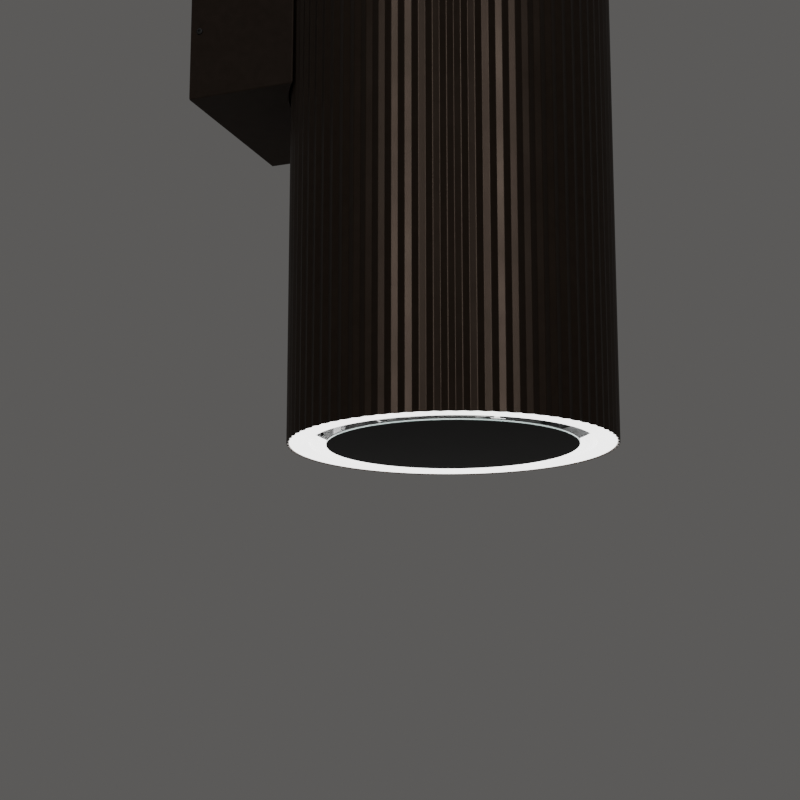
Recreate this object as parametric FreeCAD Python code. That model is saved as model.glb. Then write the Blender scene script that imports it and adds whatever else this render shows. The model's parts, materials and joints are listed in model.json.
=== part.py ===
import FreeCAD, Part
import math
import os

# Wall-hung cylindrical cooker hood. All parts are modelled in the hood frame: the cylinder's axis is Z,
# the bottom plane of the light ring is Z = 0 and the wall plane is Y = AXIS_TO_WALL.
# On saving, every part moves so that the origin is the centre of the wall bolts, on the wall plane.

V = FreeCAD.Vector
X_AXIS = V(1, 0, 0)
Y_AXIS = V(0, 1, 0)
Z_AXIS = V(0, 0, 1)

# ---- overall size ----
HOOD_HEIGHT = 750.0
RIDGE_R = 197.5
AXIS_TO_WALL = 300.0
ARM_WIDTH = 240.0
ARM_HEIGHT = 280.0
ARM_BOTTOM = 435.0
ARM_CENTRE_Z = ARM_BOTTOM + ARM_HEIGHT / 2

# ---- pleated shell ----
PLEATS = 78
PLEAT_DEPTH = 2.5
FIRST_RIDGE_DEG = 197.6
SHELL_SHEET = 0.8
PLATE = 1.5
CAP_PLATE = 1.5
SHELL_TOP = HOOD_HEIGHT - CAP_PLATE
RING_R = 194.0
CUTOUT_HALF_WIDTH = 104.0
CUTOUT_MARGIN = 12.0
CAP_SCREW_CIRCLE = 180.0
CAP_SCREWS = 6
CAP_COLLAR_R = 144.5
CAP_COLLAR = 14.0
UPPER_RING_WALL = 24.0
LOWER_RING_WALL = 20.0
LOWER_RING_BORE_R = 140.0

# ---- light ring ----
THROAT_R = 170.5
DIFFUSER = 3.0
DIFFUSER_RECESS = 0.8
DIFFUSER_WALL = 2.5
LIGHT_HEIGHT = 22.0
CARRIER_Z = LIGHT_HEIGHT
CARRIER = 1.2
CARRIER_SEGMENTS = 6
CARRIER_SLOT = 1.0
LIP_R = THROAT_R + CARRIER + 0.1
LED_COUNT = 78
LED_CIRCLE_R = 181.5
LED_BOARD = 1.6
LED_BOARD_HALF = 6.5
LED_CHIP = 0.8

# ---- ceiling of the intake ----
CEILING_Z = 41.5
FLOOR_RING_Z = CEILING_Z + PLATE
FLOOR_RING_TOP = FLOOR_RING_Z + PLATE
CEILING_R = 190.0
SKIRT_SCREWS = 6
SKIRT_SCREW_Z = 27.0

# ---- glass panel and its hinge ----
GLASS_R = 150.5
GLASS = 3.0
TRAY_R = 128.0
TRAY = 1.2
TRAY_TOP = GLASS + TRAY
HINGE_Y = 125.0
HINGE_Z = 12.0
HINGE_X = 50.0
HINGE_PIN_R = 2.0
RUNNING = 0.06
CATCH_SPREAD_DEG = 51.0
CATCH_R = 141.0

# ---- grease filter ----
FILTER_X = -20.0
FILTER_W = 110.0
FILTER_L = 204.0
FILTER_T = 8.0
FILTER_Z = 40.5
FILTER_RAIL = 4.0
FILTER_X0 = FILTER_X - FILTER_W / 2
FILTER_X1 = FILTER_X + FILTER_W / 2
FILTER_Y1 = FILTER_L / 2
LATCH_X0 = 11.0
LATCH_X1 = 41.0
LATCH_HALF = 14.0
LATCH_Z0 = 37.0
LATCH_Z1 = FILTER_Z
SLIDER_X0 = 19.5
SLIDER_X1 = 28.4
BOLT_Z0 = FLOOR_RING_Z + 0.35

# ---- blower ----
FAN_Y = 50.0
FAN_Z = 235.0
FAN_R = 75.0
FAN_HALF = 70.0
BLADES = 32
SCROLL_HALF = 80.0
SCROLL_WALL = 2.0
SCROLL_START_R = 84.0
SCROLL_END_R = 128.0
TONGUE_DEG = 125.0
SCROLL_SWEEP = TONGUE_DEG + 180.0
OUTLET_TOP = 105.0
OUTLET_Y0 = FAN_Y - SCROLL_END_R
OUTLET_Y1 = FAN_Y + SCROLL_START_R * math.cos(math.radians(TONGUE_DEG))
INLET_R = 60.0
INLET_FLARE = 7.0
INLET_WALL = 1.5
SHAFT_R = 4.0
SHELF_Z = FAN_Z + OUTLET_TOP
SHELF = 2.5
SHELF_R = 188.0
BUSH_HEIGHT = 3.0
BUSH_X = SCROLL_HALF + 6.0
BUSH_Y = (OUTLET_Y0 - 4.0, OUTLET_Y1 + 4.0)
CAN_R = 15.0
CAN_X = -98.0
CAN_Y = -40.0
CAN_Z = 262.0
CAN_HEIGHT = 58.0
CLIP_Z = 285.0
CLIP_HEIGHT = 12.0

# ---- duct ----
DUCT_R = 74.0
DUCT_WALL = 1.5
DUCT_Y = FAN_Y - 87.5
COLLAR_TOP = 440.0
BEND_R = 100.0
BEND_START_Z = ARM_CENTRE_Z - BEND_R
BEND_END_Y = DUCT_Y + BEND_R
PIPE_START_Y = BEND_END_Y + 20.0
PIPE_END_Y = 182.0
COUPLER = 30.0
SOCKET_START_Y = 168.0
SOCKET_STEP_Y = 192.0
SOCKET_R = 75.5
FLAP_R = 71.5
FLAP_Z = 395.0
FLAP_OFFSET = 2.5
FLAP_PIN_R = 1.5

# ---- wall arm and chassis ----
ARM_SHEET = 1.5
ARM_GAP = 2.5
HEM = 10.0
COVER_SCREW_Y = AXIS_TO_WALL - 12.5
COVER_SCREW_DZ = 52.0
WALL_PLATE = 3.0
BOLT_X = 85.0
BOLT_Z = 112.0
BOLT_HOLE_R = 4.5
CHEEK = 2.0
CHEEK_X = 100.0
REAR_FRAME_Y = 148.0
STRUT_X = 104.0
STRUT_Y = 110.0
STRUT_LEG = 20.0
STRUT_WALL = 2.0
GLAND_X = 86.0
GLAND_Z = ARM_CENTRE_Z + 50.0
GLAND_R = 8.0
GLAND_HOLE_R = 3.8

# ---- electronics ----
BOX_X0 = 52.0
BOX_X1 = 132.0
BOX_Y = 84.0
BOX_TOP = 104.0
BOX_WALL = 2.0
BOARD_Z = FLOOR_RING_TOP + 8.0
DRIVER_X0 = -134.0
DRIVER_X1 = -98.0
DRIVER_Y = 58.0


def box(x0, x1, y0, y1, z0, z1):
    """Box between the given planes."""
    return Part.makeBox(x1 - x0, y1 - y0, z1 - z0, V(x0, y0, z0))


def rod(radius, start, length, axis=Z_AXIS):
    """Solid cylinder from the start point along an axis."""
    return Part.makeCylinder(radius, length, start, axis)


def tube(outer, inner, start, length, axis=Z_AXIS):
    """Hollow cylinder from the start point along an axis."""
    return rod(outer, start, length, axis).cut(rod(inner, start, length, axis))


def ring(outer, inner, z0, z1):
    """Hollow cylinder about the hood's own axis."""
    return tube(outer, inner, V(0, 0, z0), z1 - z0)


def fused(first, *others):
    """One solid from touching or overlapping ones."""
    return first.fuse(list(others)).removeSplitter()


def prism(points, direction):
    """Solid made by pushing a closed polygon along a direction."""
    return Part.Face(Part.makePolygon(points + [points[0]])).extrude(direction)


def turned(shape, degrees):
    """Copy of a shape turned about the hood's axis."""
    copy = shape.copy()
    copy.rotate(V(0, 0, 0), Z_AXIS, degrees)
    return copy


def mirrored_x(shape):
    """Copy of a shape on the other side of the middle plane."""
    return shape.mirror(V(0, 0, 0), X_AXIS)


def both_sides(shape):
    """A shape and its copy on the other side of the middle plane."""
    return [shape, mirrored_x(shape)]


def save(name, *solids):
    """Moves the solids from the hood frame to the wall bolts' centre and writes them as one node."""
    placed = []
    for solid in solids:
        copy = solid.copy()
        copy.translate(V(0, -AXIS_TO_WALL, -ARM_CENTRE_Z))
        placed.append(copy)
    shape = placed[0] if len(placed) == 1 else Part.makeCompound(placed)
    shape.exportStep(f"parts/{name}.step")


# ---- shell ----

def pleat_outline(inset, z):
    """Zigzag outline of the pleated sheet, moved inwards by the inset."""
    points = []
    for half in range(2 * PLEATS):
        angle = math.radians(FIRST_RIDGE_DEG + half * 180.0 / PLEATS)
        radius = RIDGE_R - inset - (PLEAT_DEPTH if half % 2 else 0.0)
        points.append(V(radius * math.cos(angle), radius * math.sin(angle), z))
    return points


def pleated_prism(inset, z0, z1):
    """Solid column with the pleated outline."""
    return prism(pleat_outline(inset, z0), V(0, 0, z1 - z0))


def facet_inset(thickness):
    """Radial distance that gives the sheet its thickness across a sloping facet."""
    half_pitch = RIDGE_R * math.pi / PLEATS
    return thickness / math.cos(math.atan2(PLEAT_DEPTH, half_pitch))


def fluted_shell():
    """Pleated sheet tube with a window at the back, which the arm covers."""
    wall = pleated_prism(0, 0, SHELL_TOP).cut(pleated_prism(facet_inset(SHELL_SHEET), 0, SHELL_TOP))
    z0 = ARM_BOTTOM + CUTOUT_MARGIN
    z1 = ARM_BOTTOM + ARM_HEIGHT - CUTOUT_MARGIN
    return wall.cut(box(-CUTOUT_HALF_WIDTH, CUTOUT_HALF_WIDTH, 100, RIDGE_R + 5, z0, z1))


def around(count, start_deg=90.0):
    """Equally spaced angles about the hood's axis."""
    return [start_deg + 360.0 * i / count for i in range(count)]


def cap_screw_holes(z0, z1):
    """Clearance holes for the screws that hold the cap."""
    hole = rod(2.1, V(CAP_SCREW_CIRCLE, 0, z0), z1 - z0)
    return [turned(hole, angle) for angle in around(CAP_SCREWS, 30.0)]


def top_cap():
    """Flat lid with the pleated outline and a short centring collar inside the upper ring."""
    lid = pleated_prism(0, SHELL_TOP, HOOD_HEIGHT)
    collar = ring(CAP_COLLAR_R, CAP_COLLAR_R - PLATE, SHELL_TOP - CAP_COLLAR, SHELL_TOP)
    return fused(lid, collar).cut(cap_screw_holes(SHELL_TOP - 1, HOOD_HEIGHT + 1))


def cap_screws():
    """Pan-head screws through the lid into the upper ring."""
    head = rod(4.0, V(CAP_SCREW_CIRCLE, 0, HOOD_HEIGHT), 2.0)
    shank = rod(1.9, V(CAP_SCREW_CIRCLE, 0, SHELL_TOP - 8.0), HOOD_HEIGHT - SHELL_TOP + 8.0)
    screw = fused(head, shank)
    return [turned(screw, angle) for angle in around(CAP_SCREWS, 30.0)]


def upper_ring():
    """Angle-section ring under the cap that centres the shell's top."""
    flange = ring(RING_R, CAP_COLLAR_R + 0.5, SHELL_TOP - PLATE, SHELL_TOP)
    wall = ring(RING_R, RING_R - PLATE, SHELL_TOP - UPPER_RING_WALL, SHELL_TOP - PLATE)
    return fused(flange, wall).cut(cap_screw_holes(SHELL_TOP - 3, SHELL_TOP + 1))


def lower_ring():
    """Angle-section ring that the struts stand on; it centres the shell's foot."""
    flange = ring(RING_R, LOWER_RING_BORE_R, FLOOR_RING_Z, FLOOR_RING_TOP)
    wall = ring(RING_R, RING_R - PLATE, FLOOR_RING_TOP, FLOOR_RING_TOP + LOWER_RING_WALL)
    return fused(flange, wall)


# ---- light ring ----

def light_diffuser():
    """Opal ring inside the shell's foot, set back a little, that closes the light chamber from below."""
    return ring(RING_R, THROAT_R, DIFFUSER_RECESS, DIFFUSER)


def diffuser_wall():
    """Opal inner wall of the light chamber, bonded to the ring and standing against the carrier."""
    return ring(THROAT_R + DIFFUSER_WALL, THROAT_R, DIFFUSER, CARRIER_Z)


def skirt_screw_holes(radius):
    """Radial holes for the screws that tie the skirt to the LED carrier."""
    hole = rod(radius, V(THROAT_R - 5, 0, SKIRT_SCREW_Z), 15.0, X_AXIS)
    return [turned(hole, angle) for angle in around(SKIRT_SCREWS)]


def led_carrier():
    """Folded metal segments that carry the LED board and close the light chamber from above."""
    top = CARRIER_Z + CARRIER
    plate = ring(RING_R, LIP_R, CARRIER_Z, top)
    outer_lip = ring(RING_R, RING_R - CARRIER, CARRIER_Z - 5.0, CARRIER_Z)
    inner_lip = ring(LIP_R + CARRIER, LIP_R, top, SKIRT_SCREW_Z + 6.0)
    slot = box(LIP_R - 5, RING_R + 5, -CARRIER_SLOT / 2, CARRIER_SLOT / 2, 0, CEILING_Z)
    slots = [turned(slot, angle) for angle in around(CARRIER_SEGMENTS, 90.0 + 180.0 / CARRIER_SEGMENTS)]
    return fused(plate, outer_lip, inner_lip).cut(skirt_screw_holes(1.6)).cut(slots).Solids


def led_board():
    """Ring-shaped circuit board under the carrier."""
    outer = LED_CIRCLE_R + LED_BOARD_HALF
    inner = LED_CIRCLE_R - LED_BOARD_HALF
    return ring(outer, inner, CARRIER_Z - LED_BOARD, CARRIER_Z)


def led_chips():
    """Light-emitting chips in a circle under the board."""
    top = CARRIER_Z - LED_BOARD
    chip = box(LED_CIRCLE_R - 1.75, LED_CIRCLE_R + 1.75, -1.4, 1.4, top - LED_CHIP, top)
    return [turned(chip, angle) for angle in around(LED_COUNT)]


def inner_skirt():
    """Bright metal throat between the light ring and the ceiling plate."""
    wall = ring(THROAT_R + CARRIER, THROAT_R, CARRIER_Z + 0.2, CEILING_Z)
    return wall.cut(skirt_screw_holes(1.6))


def skirt_screws():
    """Small pan-head screws with their heads inside the throat."""
    head = rod(2.8, V(THROAT_R - 1.9, 0, SKIRT_SCREW_Z), 1.8, X_AXIS)
    shank = rod(1.5, V(THROAT_R - 0.5, 0, SKIRT_SCREW_Z), 6.5, X_AXIS)
    screw = fused(head, shank)
    return [turned(screw, angle) for angle in around(SKIRT_SCREWS)]


# ---- ceiling and filter ----

def base_plate():
    """Black ceiling of the intake, with the filter's opening."""
    plate = rod(CEILING_R, V(0, 0, CEILING_Z), PLATE)
    y1 = FILTER_Y1 + 1
    opening = box(FILTER_X0 - 1, FILTER_X1 + 1, -y1, y1, CEILING_Z - 1, FLOOR_RING_Z + 1)
    return plate.cut(opening)


def filter_frame():
    """Aluminium channel round the filter, with two tabs that hook over the ceiling plate."""
    z1 = FILTER_Z + FILTER_T
    outer = box(FILTER_X0, FILTER_X1, -FILTER_Y1, FILTER_Y1, FILTER_Z, z1)
    inner = box(
        FILTER_X0 + FILTER_RAIL, FILTER_X1 - FILTER_RAIL,
        -FILTER_Y1 + FILTER_RAIL, FILTER_Y1 - FILTER_RAIL, FILTER_Z, z1,
    )
    bolt_slot = box(FILTER_X1 - FILTER_RAIL - 1, FILTER_X1 + 1, -6, 6, FILTER_Z + 2.3, z1 + 1)
    z0 = FLOOR_RING_Z + 0.2
    tabs = [box(FILTER_X0 - 6, FILTER_X0, y - 10, y + 10, z0, z0 + 1.2) for y in (-60, 60)]
    return fused(outer.cut(inner).cut(bolt_slot), *tabs)


def filter_mesh():
    """Layered aluminium mesh as one slab, notched round the latch."""
    slab = box(
        FILTER_X0 + FILTER_RAIL, FILTER_X1 - FILTER_RAIL,
        -FILTER_Y1 + FILTER_RAIL, FILTER_Y1 - FILTER_RAIL, FILTER_Z + 0.8, FILTER_Z + FILTER_T - 0.8,
    )
    half = LATCH_HALF + 1
    return slab.cut(box(LATCH_X0 - 1, FILTER_X1, -half, half, FILTER_Z, FILTER_Z + FILTER_T))


def latch_housing():
    """Grey finger plate on the filter's edge, with a window for the sliding tab."""
    plate = box(LATCH_X0, LATCH_X1, -LATCH_HALF, LATCH_HALF, LATCH_Z0, LATCH_Z1)
    window = box(LATCH_X0 + 2.5, SLIDER_X1 + 0.6, -9, 9, LATCH_Z0 - 1, LATCH_Z1 + 1)
    feet = [box(LATCH_X0, 31, y0, y0 + 3, LATCH_Z1, LATCH_Z1 + 6) for y0 in (-LATCH_HALF, LATCH_HALF - 3)]
    return fused(plate.cut(window), *feet)


def filter_latch():
    """Sliding tab with a finger hollow and the bolt that reaches over the ceiling plate."""
    tab = box(SLIDER_X0, SLIDER_X1, -8.4, 8.4, LATCH_Z0 + 0.2, BOLT_Z0)
    hollow = rod(3.0, V((SLIDER_X0 + SLIDER_X1) / 2, -6.5, LATCH_Z0 - 1.4), 13.0, Y_AXIS)
    bolt = box(SLIDER_X0, LATCH_X1 + 0.5, -5, 5, BOLT_Z0, BOLT_Z0 + 2.0)
    return fused(tab, bolt).cut(hollow)


# ---- glass panel ----

def glass_panel():
    """Flat glass disc with a small polished chamfer."""
    disc = rod(GLASS_R, V(0, 0, 0), GLASS)
    return disc.makeChamfer(0.4, disc.Edges)


def panel_tray():
    """Steel plate bonded to the glass, with a low stiffening rib."""
    plate = rod(TRAY_R, V(0, 0, GLASS), TRAY)
    rib = ring(100.0, 98.5, TRAY_TOP, TRAY_TOP + 3.0)
    return fused(plate, rib)


def panel_lugs():
    """Upright lugs on the tray that hold the hinge pins."""
    foot = box(HINGE_X - 8, HINGE_X + 1, HINGE_Y - 16, HINGE_Y - 6.5, TRAY_TOP, TRAY_TOP + 1.2)
    foot = foot.common(rod(TRAY_R, V(0, 0, 0), 40))
    outline = [
        V(HINGE_X - 1, HINGE_Y - 16, TRAY_TOP),
        V(HINGE_X - 1, HINGE_Y - 3, TRAY_TOP),
        V(HINGE_X - 1, HINGE_Y + 4, HINGE_Z),
        V(HINGE_X - 1, HINGE_Y - 4, HINGE_Z),
    ]
    web = prism(outline, V(2, 0, 0))
    eye = rod(4.0, V(HINGE_X - 1, HINGE_Y, HINGE_Z), 2.0, X_AXIS)
    hole = rod(HINGE_PIN_R, V(HINGE_X - 2, HINGE_Y, HINGE_Z), 4.0, X_AXIS)
    return both_sides(fused(web, eye, foot).cut(hole))


def hinge_pins():
    """Pins fixed in the lugs, running in the brackets' ears."""
    pin = rod(HINGE_PIN_R, V(HINGE_X - 7, HINGE_Y, HINGE_Z), 14.0, X_AXIS)
    return both_sides(pin)


def hinge_brackets():
    """U-shaped brackets that hang from the ceiling, one at each hinge."""
    web = box(HINGE_X - 6, HINGE_X + 6, HINGE_Y - 9, HINGE_Y + 8, CEILING_Z - 1.5, CEILING_Z)
    solid = web
    for x0 in (HINGE_X - 6, HINGE_X + 4):
        leg = box(x0, x0 + 2, HINGE_Y - 5, HINGE_Y + 5, HINGE_Z, CEILING_Z - 1.5)
        eye = rod(5.0, V(x0, HINGE_Y, HINGE_Z), 2.0, X_AXIS)
        hole = rod(HINGE_PIN_R + RUNNING, V(x0 - 1, HINGE_Y, HINGE_Z), 4.0, X_AXIS)
        solid = fused(solid, leg, eye).cut(hole)
    return both_sides(solid)


def at_catch(shape):
    """Copies of a shape, made on the +X axis, at the two catches in the front."""
    return [turned(shape, -90.0 + side * CATCH_SPREAD_DEG) for side in (-1, 1)]


def panel_keepers():
    """Bright steel strips on the glass that the magnets pull."""
    return at_catch(box(CATCH_R - 5, CATCH_R + 5, -9, 9, GLASS, GLASS + 1.6))


def catch_magnets():
    """Round magnets held just above the keepers."""
    return at_catch(rod(4.5, V(CATCH_R, 0, GLASS + 1.9), 5.0))


def catch_brackets():
    """Black blocks that hang from the ceiling and hold the magnets."""
    block = box(CATCH_R - 7, CATCH_R + 7, -11, 11, GLASS + 6.9, CEILING_Z)
    hollow = box(CATCH_R - 5, CATCH_R + 8, -8, 8, 20.0, CEILING_Z - 2.0)
    return at_catch(block.cut(hollow))


# ---- blower ----

def scroll_wire(offset):
    """Closed outline of the scroll and its upward outlet, in the plane X = 0."""
    points = []
    for step in range(17):
        share = step / 16.0
        angle = math.radians(TONGUE_DEG - SCROLL_SWEEP * share)
        radius = SCROLL_START_R + (SCROLL_END_R - SCROLL_START_R) * share + offset
        points.append(V(0, FAN_Y + radius * math.cos(angle), FAN_Z + radius * math.sin(angle)))
    curve = Part.BSplineCurve()
    curve.interpolate(points)
    tongue = points[0]
    end = points[-1]
    top_inner = V(0, tongue.y, SHELF_Z - BUSH_HEIGHT)
    top_outer = V(0, end.y, SHELF_Z - BUSH_HEIGHT)
    lines = [
        Part.LineSegment(end, top_outer).toShape(),
        Part.LineSegment(top_outer, top_inner).toShape(),
        Part.LineSegment(top_inner, tongue).toShape(),
    ]
    return Part.Wire([curve.toShape()] + lines)


def scroll_prism(offset, x0, x1):
    """Solid with the scroll's outline between two planes."""
    face = Part.Face(scroll_wire(offset))
    face.translate(V(x0, 0, 0))
    return face.extrude(V(x1 - x0, 0, 0))


def volute_half():
    """Half of the blower's housing on the +X side: scroll wall, side wall and outlet flange."""
    outer = scroll_prism(SCROLL_WALL, 0, SCROLL_HALF)
    inner = scroll_prism(0, 0, SCROLL_HALF - SCROLL_WALL)
    opening = rod(INLET_R, V(0, FAN_Y, FAN_Z), SCROLL_HALF + 1, X_AXIS)
    top = SHELF_Z - BUSH_HEIGHT
    flange = box(0, SCROLL_HALF + 12, OUTLET_Y0 - 12, OUTLET_Y1 + 12, top - 3.0, top)
    mouth = box(0, SCROLL_HALF - SCROLL_WALL, OUTLET_Y0, OUTLET_Y1, top - 4.0, SHELF_Z)
    return fused(outer, flange).cut([inner, opening, mouth])


def impeller():
    """Double-inlet wheel: middle disc with hub, long blades and two end rings."""
    centre = V(0, FAN_Y, FAN_Z)
    disc = rod(FAN_R - 1, centre - X_AXIS * 1.5, 3.0, X_AXIS)
    hub = rod(12.0, centre - X_AXIS * 20.0, 24.0, X_AXIS)
    rims = [tube(FAN_R, 60.0, V(x0, FAN_Y, FAN_Z), 3.0, X_AXIS) for x0 in (-FAN_HALF, FAN_HALF - 3.0)]
    blades = []
    for index in range(BLADES):
        blade = box(-FAN_HALF + 1, FAN_HALF - 1, FAN_Y + 61, FAN_Y + 73.5, FAN_Z - 0.8, FAN_Z + 0.8)
        blade.rotate(V(0, FAN_Y + 67, FAN_Z), X_AXIS, 35.0)
        blade.rotate(centre, X_AXIS, index * 360.0 / BLADES)
        blades.append(blade)
    bore = rod(SHAFT_R, centre - X_AXIS * 30.0, 60.0, X_AXIS)
    return fused(disc, hub, *rims, *blades).cut(bore)


def motor_shaft():
    """Steel shaft, fixed in the wheel's hub and running in the motor."""
    return rod(SHAFT_R, V(-22, FAN_Y, FAN_Z), 92.0, X_AXIS)


def motor():
    """Capacitor motor that reaches into the wheel from its +X side."""
    body = rod(45.0, V(12, FAN_Y, FAN_Z), 66.0, X_AXIS)
    nose = rod(18.0, V(8, FAN_Y, FAN_Z), 4.0, X_AXIS)
    tail = rod(30.0, V(78, FAN_Y, FAN_Z), 12.0, X_AXIS)
    bore = rod(SHAFT_R + RUNNING, V(0, FAN_Y, FAN_Z), 70.5, X_AXIS)
    return fused(body, nose, tail).cut(bore)


def motor_bracket():
    """Three-armed spider that holds the motor over the inlet."""
    hub = tube(32.0, 10.0, V(90, FAN_Y, FAN_Z), 3.0, X_AXIS)
    parts = []
    for index in range(3):
        arm = box(90, 93, FAN_Y + 28, FAN_Y + 76, FAN_Z - 6, FAN_Z + 6)
        foot = box(SCROLL_HALF, 90, FAN_Y + 71, FAN_Y + 76, FAN_Z - 6, FAN_Z + 6)
        piece = fused(arm, foot)
        piece.rotate(V(0, FAN_Y, FAN_Z), X_AXIS, 30.0 + 120.0 * index)
        parts.append(piece)
    return fused(hub, *parts)


def inlet_rings():
    """Flared rings at both inlets."""
    flare = INLET_FLARE
    wall = INLET_WALL
    slant = math.sqrt(0.5)
    outer_point = V(SCROLL_HALF + flare, FAN_Y + INLET_R + flare, FAN_Z)
    inner_point = V(SCROLL_HALF, FAN_Y + INLET_R, FAN_Z)
    mid = V(SCROLL_HALF + flare * slant, FAN_Y + INLET_R + flare * (1 - slant), FAN_Z)
    outer_back = outer_point - X_AXIS * wall
    inner_back = inner_point + Y_AXIS * wall
    mid_back = V(mid.x - wall * slant, mid.y + wall * slant, FAN_Z)
    edges = [
        Part.Arc(inner_point, mid, outer_point).toShape(),
        Part.LineSegment(outer_point, outer_back).toShape(),
        Part.Arc(outer_back, mid_back, inner_back).toShape(),
        Part.LineSegment(inner_back, inner_point).toShape(),
    ]
    face = Part.Face(Part.Wire(edges))
    solid = face.revolve(V(0, FAN_Y, FAN_Z), X_AXIS, 360.0)
    return both_sides(solid)


def blower_bushes():
    """Rubber rings between the blower's flange and the shelf."""
    return [
        tube(6.0, 2.6, V(side * BUSH_X, y, SHELF_Z - BUSH_HEIGHT), BUSH_HEIGHT)
        for side in (-1, 1) for y in BUSH_Y
    ]


def blower_screws():
    """Screws through the flange and bushes into the shelf."""
    screws = []
    for side in (-1, 1):
        for y in BUSH_Y:
            head = rod(4.5, V(side * BUSH_X, y, SHELF_Z - 9.0), 3.0)
            shank = rod(2.0, V(side * BUSH_X, y, SHELF_Z - 6.0), 12.0)
            screws.append(fused(head, shank))
    return screws


def bush_holes(radius):
    """Holes for the blower's screws."""
    return [rod(radius, V(side * BUSH_X, y, SHELF_Z - 10.0), 20.0) for side in (-1, 1) for y in BUSH_Y]


def capacitor_can():
    """Body of the motor's capacitor."""
    return rod(CAN_R, V(CAN_X, CAN_Y, CAN_Z), CAN_HEIGHT)


def capacitor():
    """Motor capacitor beside the outlet channel."""
    stud = rod(4.0, V(CAN_X, CAN_Y, CAN_Z - 10.0), 10.0)
    return fused(capacitor_can(), stud)


def capacitor_clip():
    """Band that ties the capacitor to the blower."""
    band = tube(CAN_R + 1.5, CAN_R, V(CAN_X, CAN_Y, CLIP_Z), CLIP_HEIGHT)
    foot = box(CAN_X + CAN_R - 1, -SCROLL_HALF, CAN_Y - 12, CAN_Y + 12, CLIP_Z, CLIP_Z + CLIP_HEIGHT)
    return fused(band, foot).cut(capacitor_can())


# ---- chassis ----

def strut_outline(x, y, margin):
    """Corner profile of a strut, grown by the margin."""
    a = STRUT_LEG + margin
    t = STRUT_WALL + margin
    m = margin
    corners = [(-m, -m), (a, -m), (a, t), (t, t), (t, a), (-m, a)]
    return [V(x + (u if x > 0 else -u), y + (v if y > 0 else -v), 0) for u, v in corners]


def strut_columns(z0, z1, margin=0.0):
    """The four corner columns of the chassis between two heights."""
    columns = []
    for sx in (-1, 1):
        for sy in (-1, 1):
            column = prism(strut_outline(sx * STRUT_X, sy * STRUT_Y, margin), V(0, 0, z1 - z0))
            column.translate(V(0, 0, z0))
            columns.append(column)
    return columns


def blower_shelf():
    """Plate across the tube that carries the blower below and the duct above."""
    half = SCROLL_HALF - SCROLL_WALL
    plate = rod(SHELF_R, V(0, 0, SHELF_Z), SHELF)
    mouth = box(-half, half, OUTLET_Y0, OUTLET_Y1, SHELF_Z - 1, SHELF_Z + SHELF + 1)
    corners = strut_columns(SHELF_Z - 1, SHELF_Z + SHELF + 1, 0.4)
    return plate.cut([mouth] + corners + bush_holes(2.1))


def rear_frame():
    """Folded plate inside the tube that ties the rear struts to the arm."""
    z0 = ARM_BOTTOM + 20.0
    z1 = ARM_BOTTOM + ARM_HEIGHT - 20.0
    y1 = REAR_FRAME_Y + 2.0
    plate = box(-STRUT_X, STRUT_X, REAR_FRAME_Y, y1, z0, z1)
    flange = box(STRUT_X - 2, STRUT_X, REAR_FRAME_Y - 34.0, REAR_FRAME_Y, z0, z1)
    hole = rod(DUCT_R + 4.0, V(0, 100, ARM_CENTRE_Z), 100.0, Y_AXIS)
    return fused(plate, *both_sides(flange)).cut(hole)


def arm_cheek():
    """Load-bearing side plate of the arm on the +X side, with flanges for the bolts at both ends."""
    z0 = ARM_BOTTOM + 22.0
    z1 = ARM_BOTTOM + ARM_HEIGHT - 22.0
    y0 = REAR_FRAME_Y + 2.0
    y1 = AXIS_TO_WALL - WALL_PLATE
    web = box(CHEEK_X - CHEEK, CHEEK_X, y0, y1, z0, z1)
    flanges = [box(CHEEK_X - 14, CHEEK_X - CHEEK, y, y + CHEEK, z0, z1) for y in (y0, y1 - CHEEK)]
    clear = [rod(7.5, V(BOLT_X, y1 - 5, ARM_CENTRE_Z + side * BOLT_Z), 10.0, Y_AXIS) for side in (-1, 1)]
    duct = rod(SOCKET_R + 3.0, V(0, y0 - 1, ARM_CENTRE_Z), y1 - y0 + 2, Y_AXIS)
    gland = rod(GLAND_R + 3.5, V(GLAND_X, y1 - 40, GLAND_Z), 50.0, Y_AXIS)
    return fused(web, *flanges).cut(clear + [duct, gland])


def frame_bolts():
    """Bolts from the cheeks into the wall plate and the rear frame."""
    bolts = []
    for side in (-1, 1):
        for dz in (-90, 80):
            for y, way in ((AXIS_TO_WALL - WALL_PLATE - CHEEK, -1), (REAR_FRAME_Y + 2 + CHEEK, 1)):
                start = V(side * 92.0, y, ARM_CENTRE_Z + dz)
                bolts.append(rod(4.0, start, 3.0, Y_AXIS * way))
    return bolts


# ---- wall arm ----

def arm_sleeve(inset, z0, z1):
    """Solid block with the arm's section, cut to the cylinder at the hood's end."""
    half = ARM_WIDTH / 2 - inset
    block = box(-half, half, 100, AXIS_TO_WALL, z0, z1)
    return block.cut(rod(RIDGE_R + ARM_GAP, V(0, 0, z0), z1 - z0))


def cover_screw_holes(radius):
    """Holes for the screws in the arm's sides."""
    holes = []
    for dz in (-COVER_SCREW_DZ, COVER_SCREW_DZ):
        start = V(-ARM_WIDTH / 2 - 10, COVER_SCREW_Y, ARM_CENTRE_Z + dz)
        holes.append(rod(radius, start, ARM_WIDTH + 20, X_AXIS))
    return holes


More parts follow.
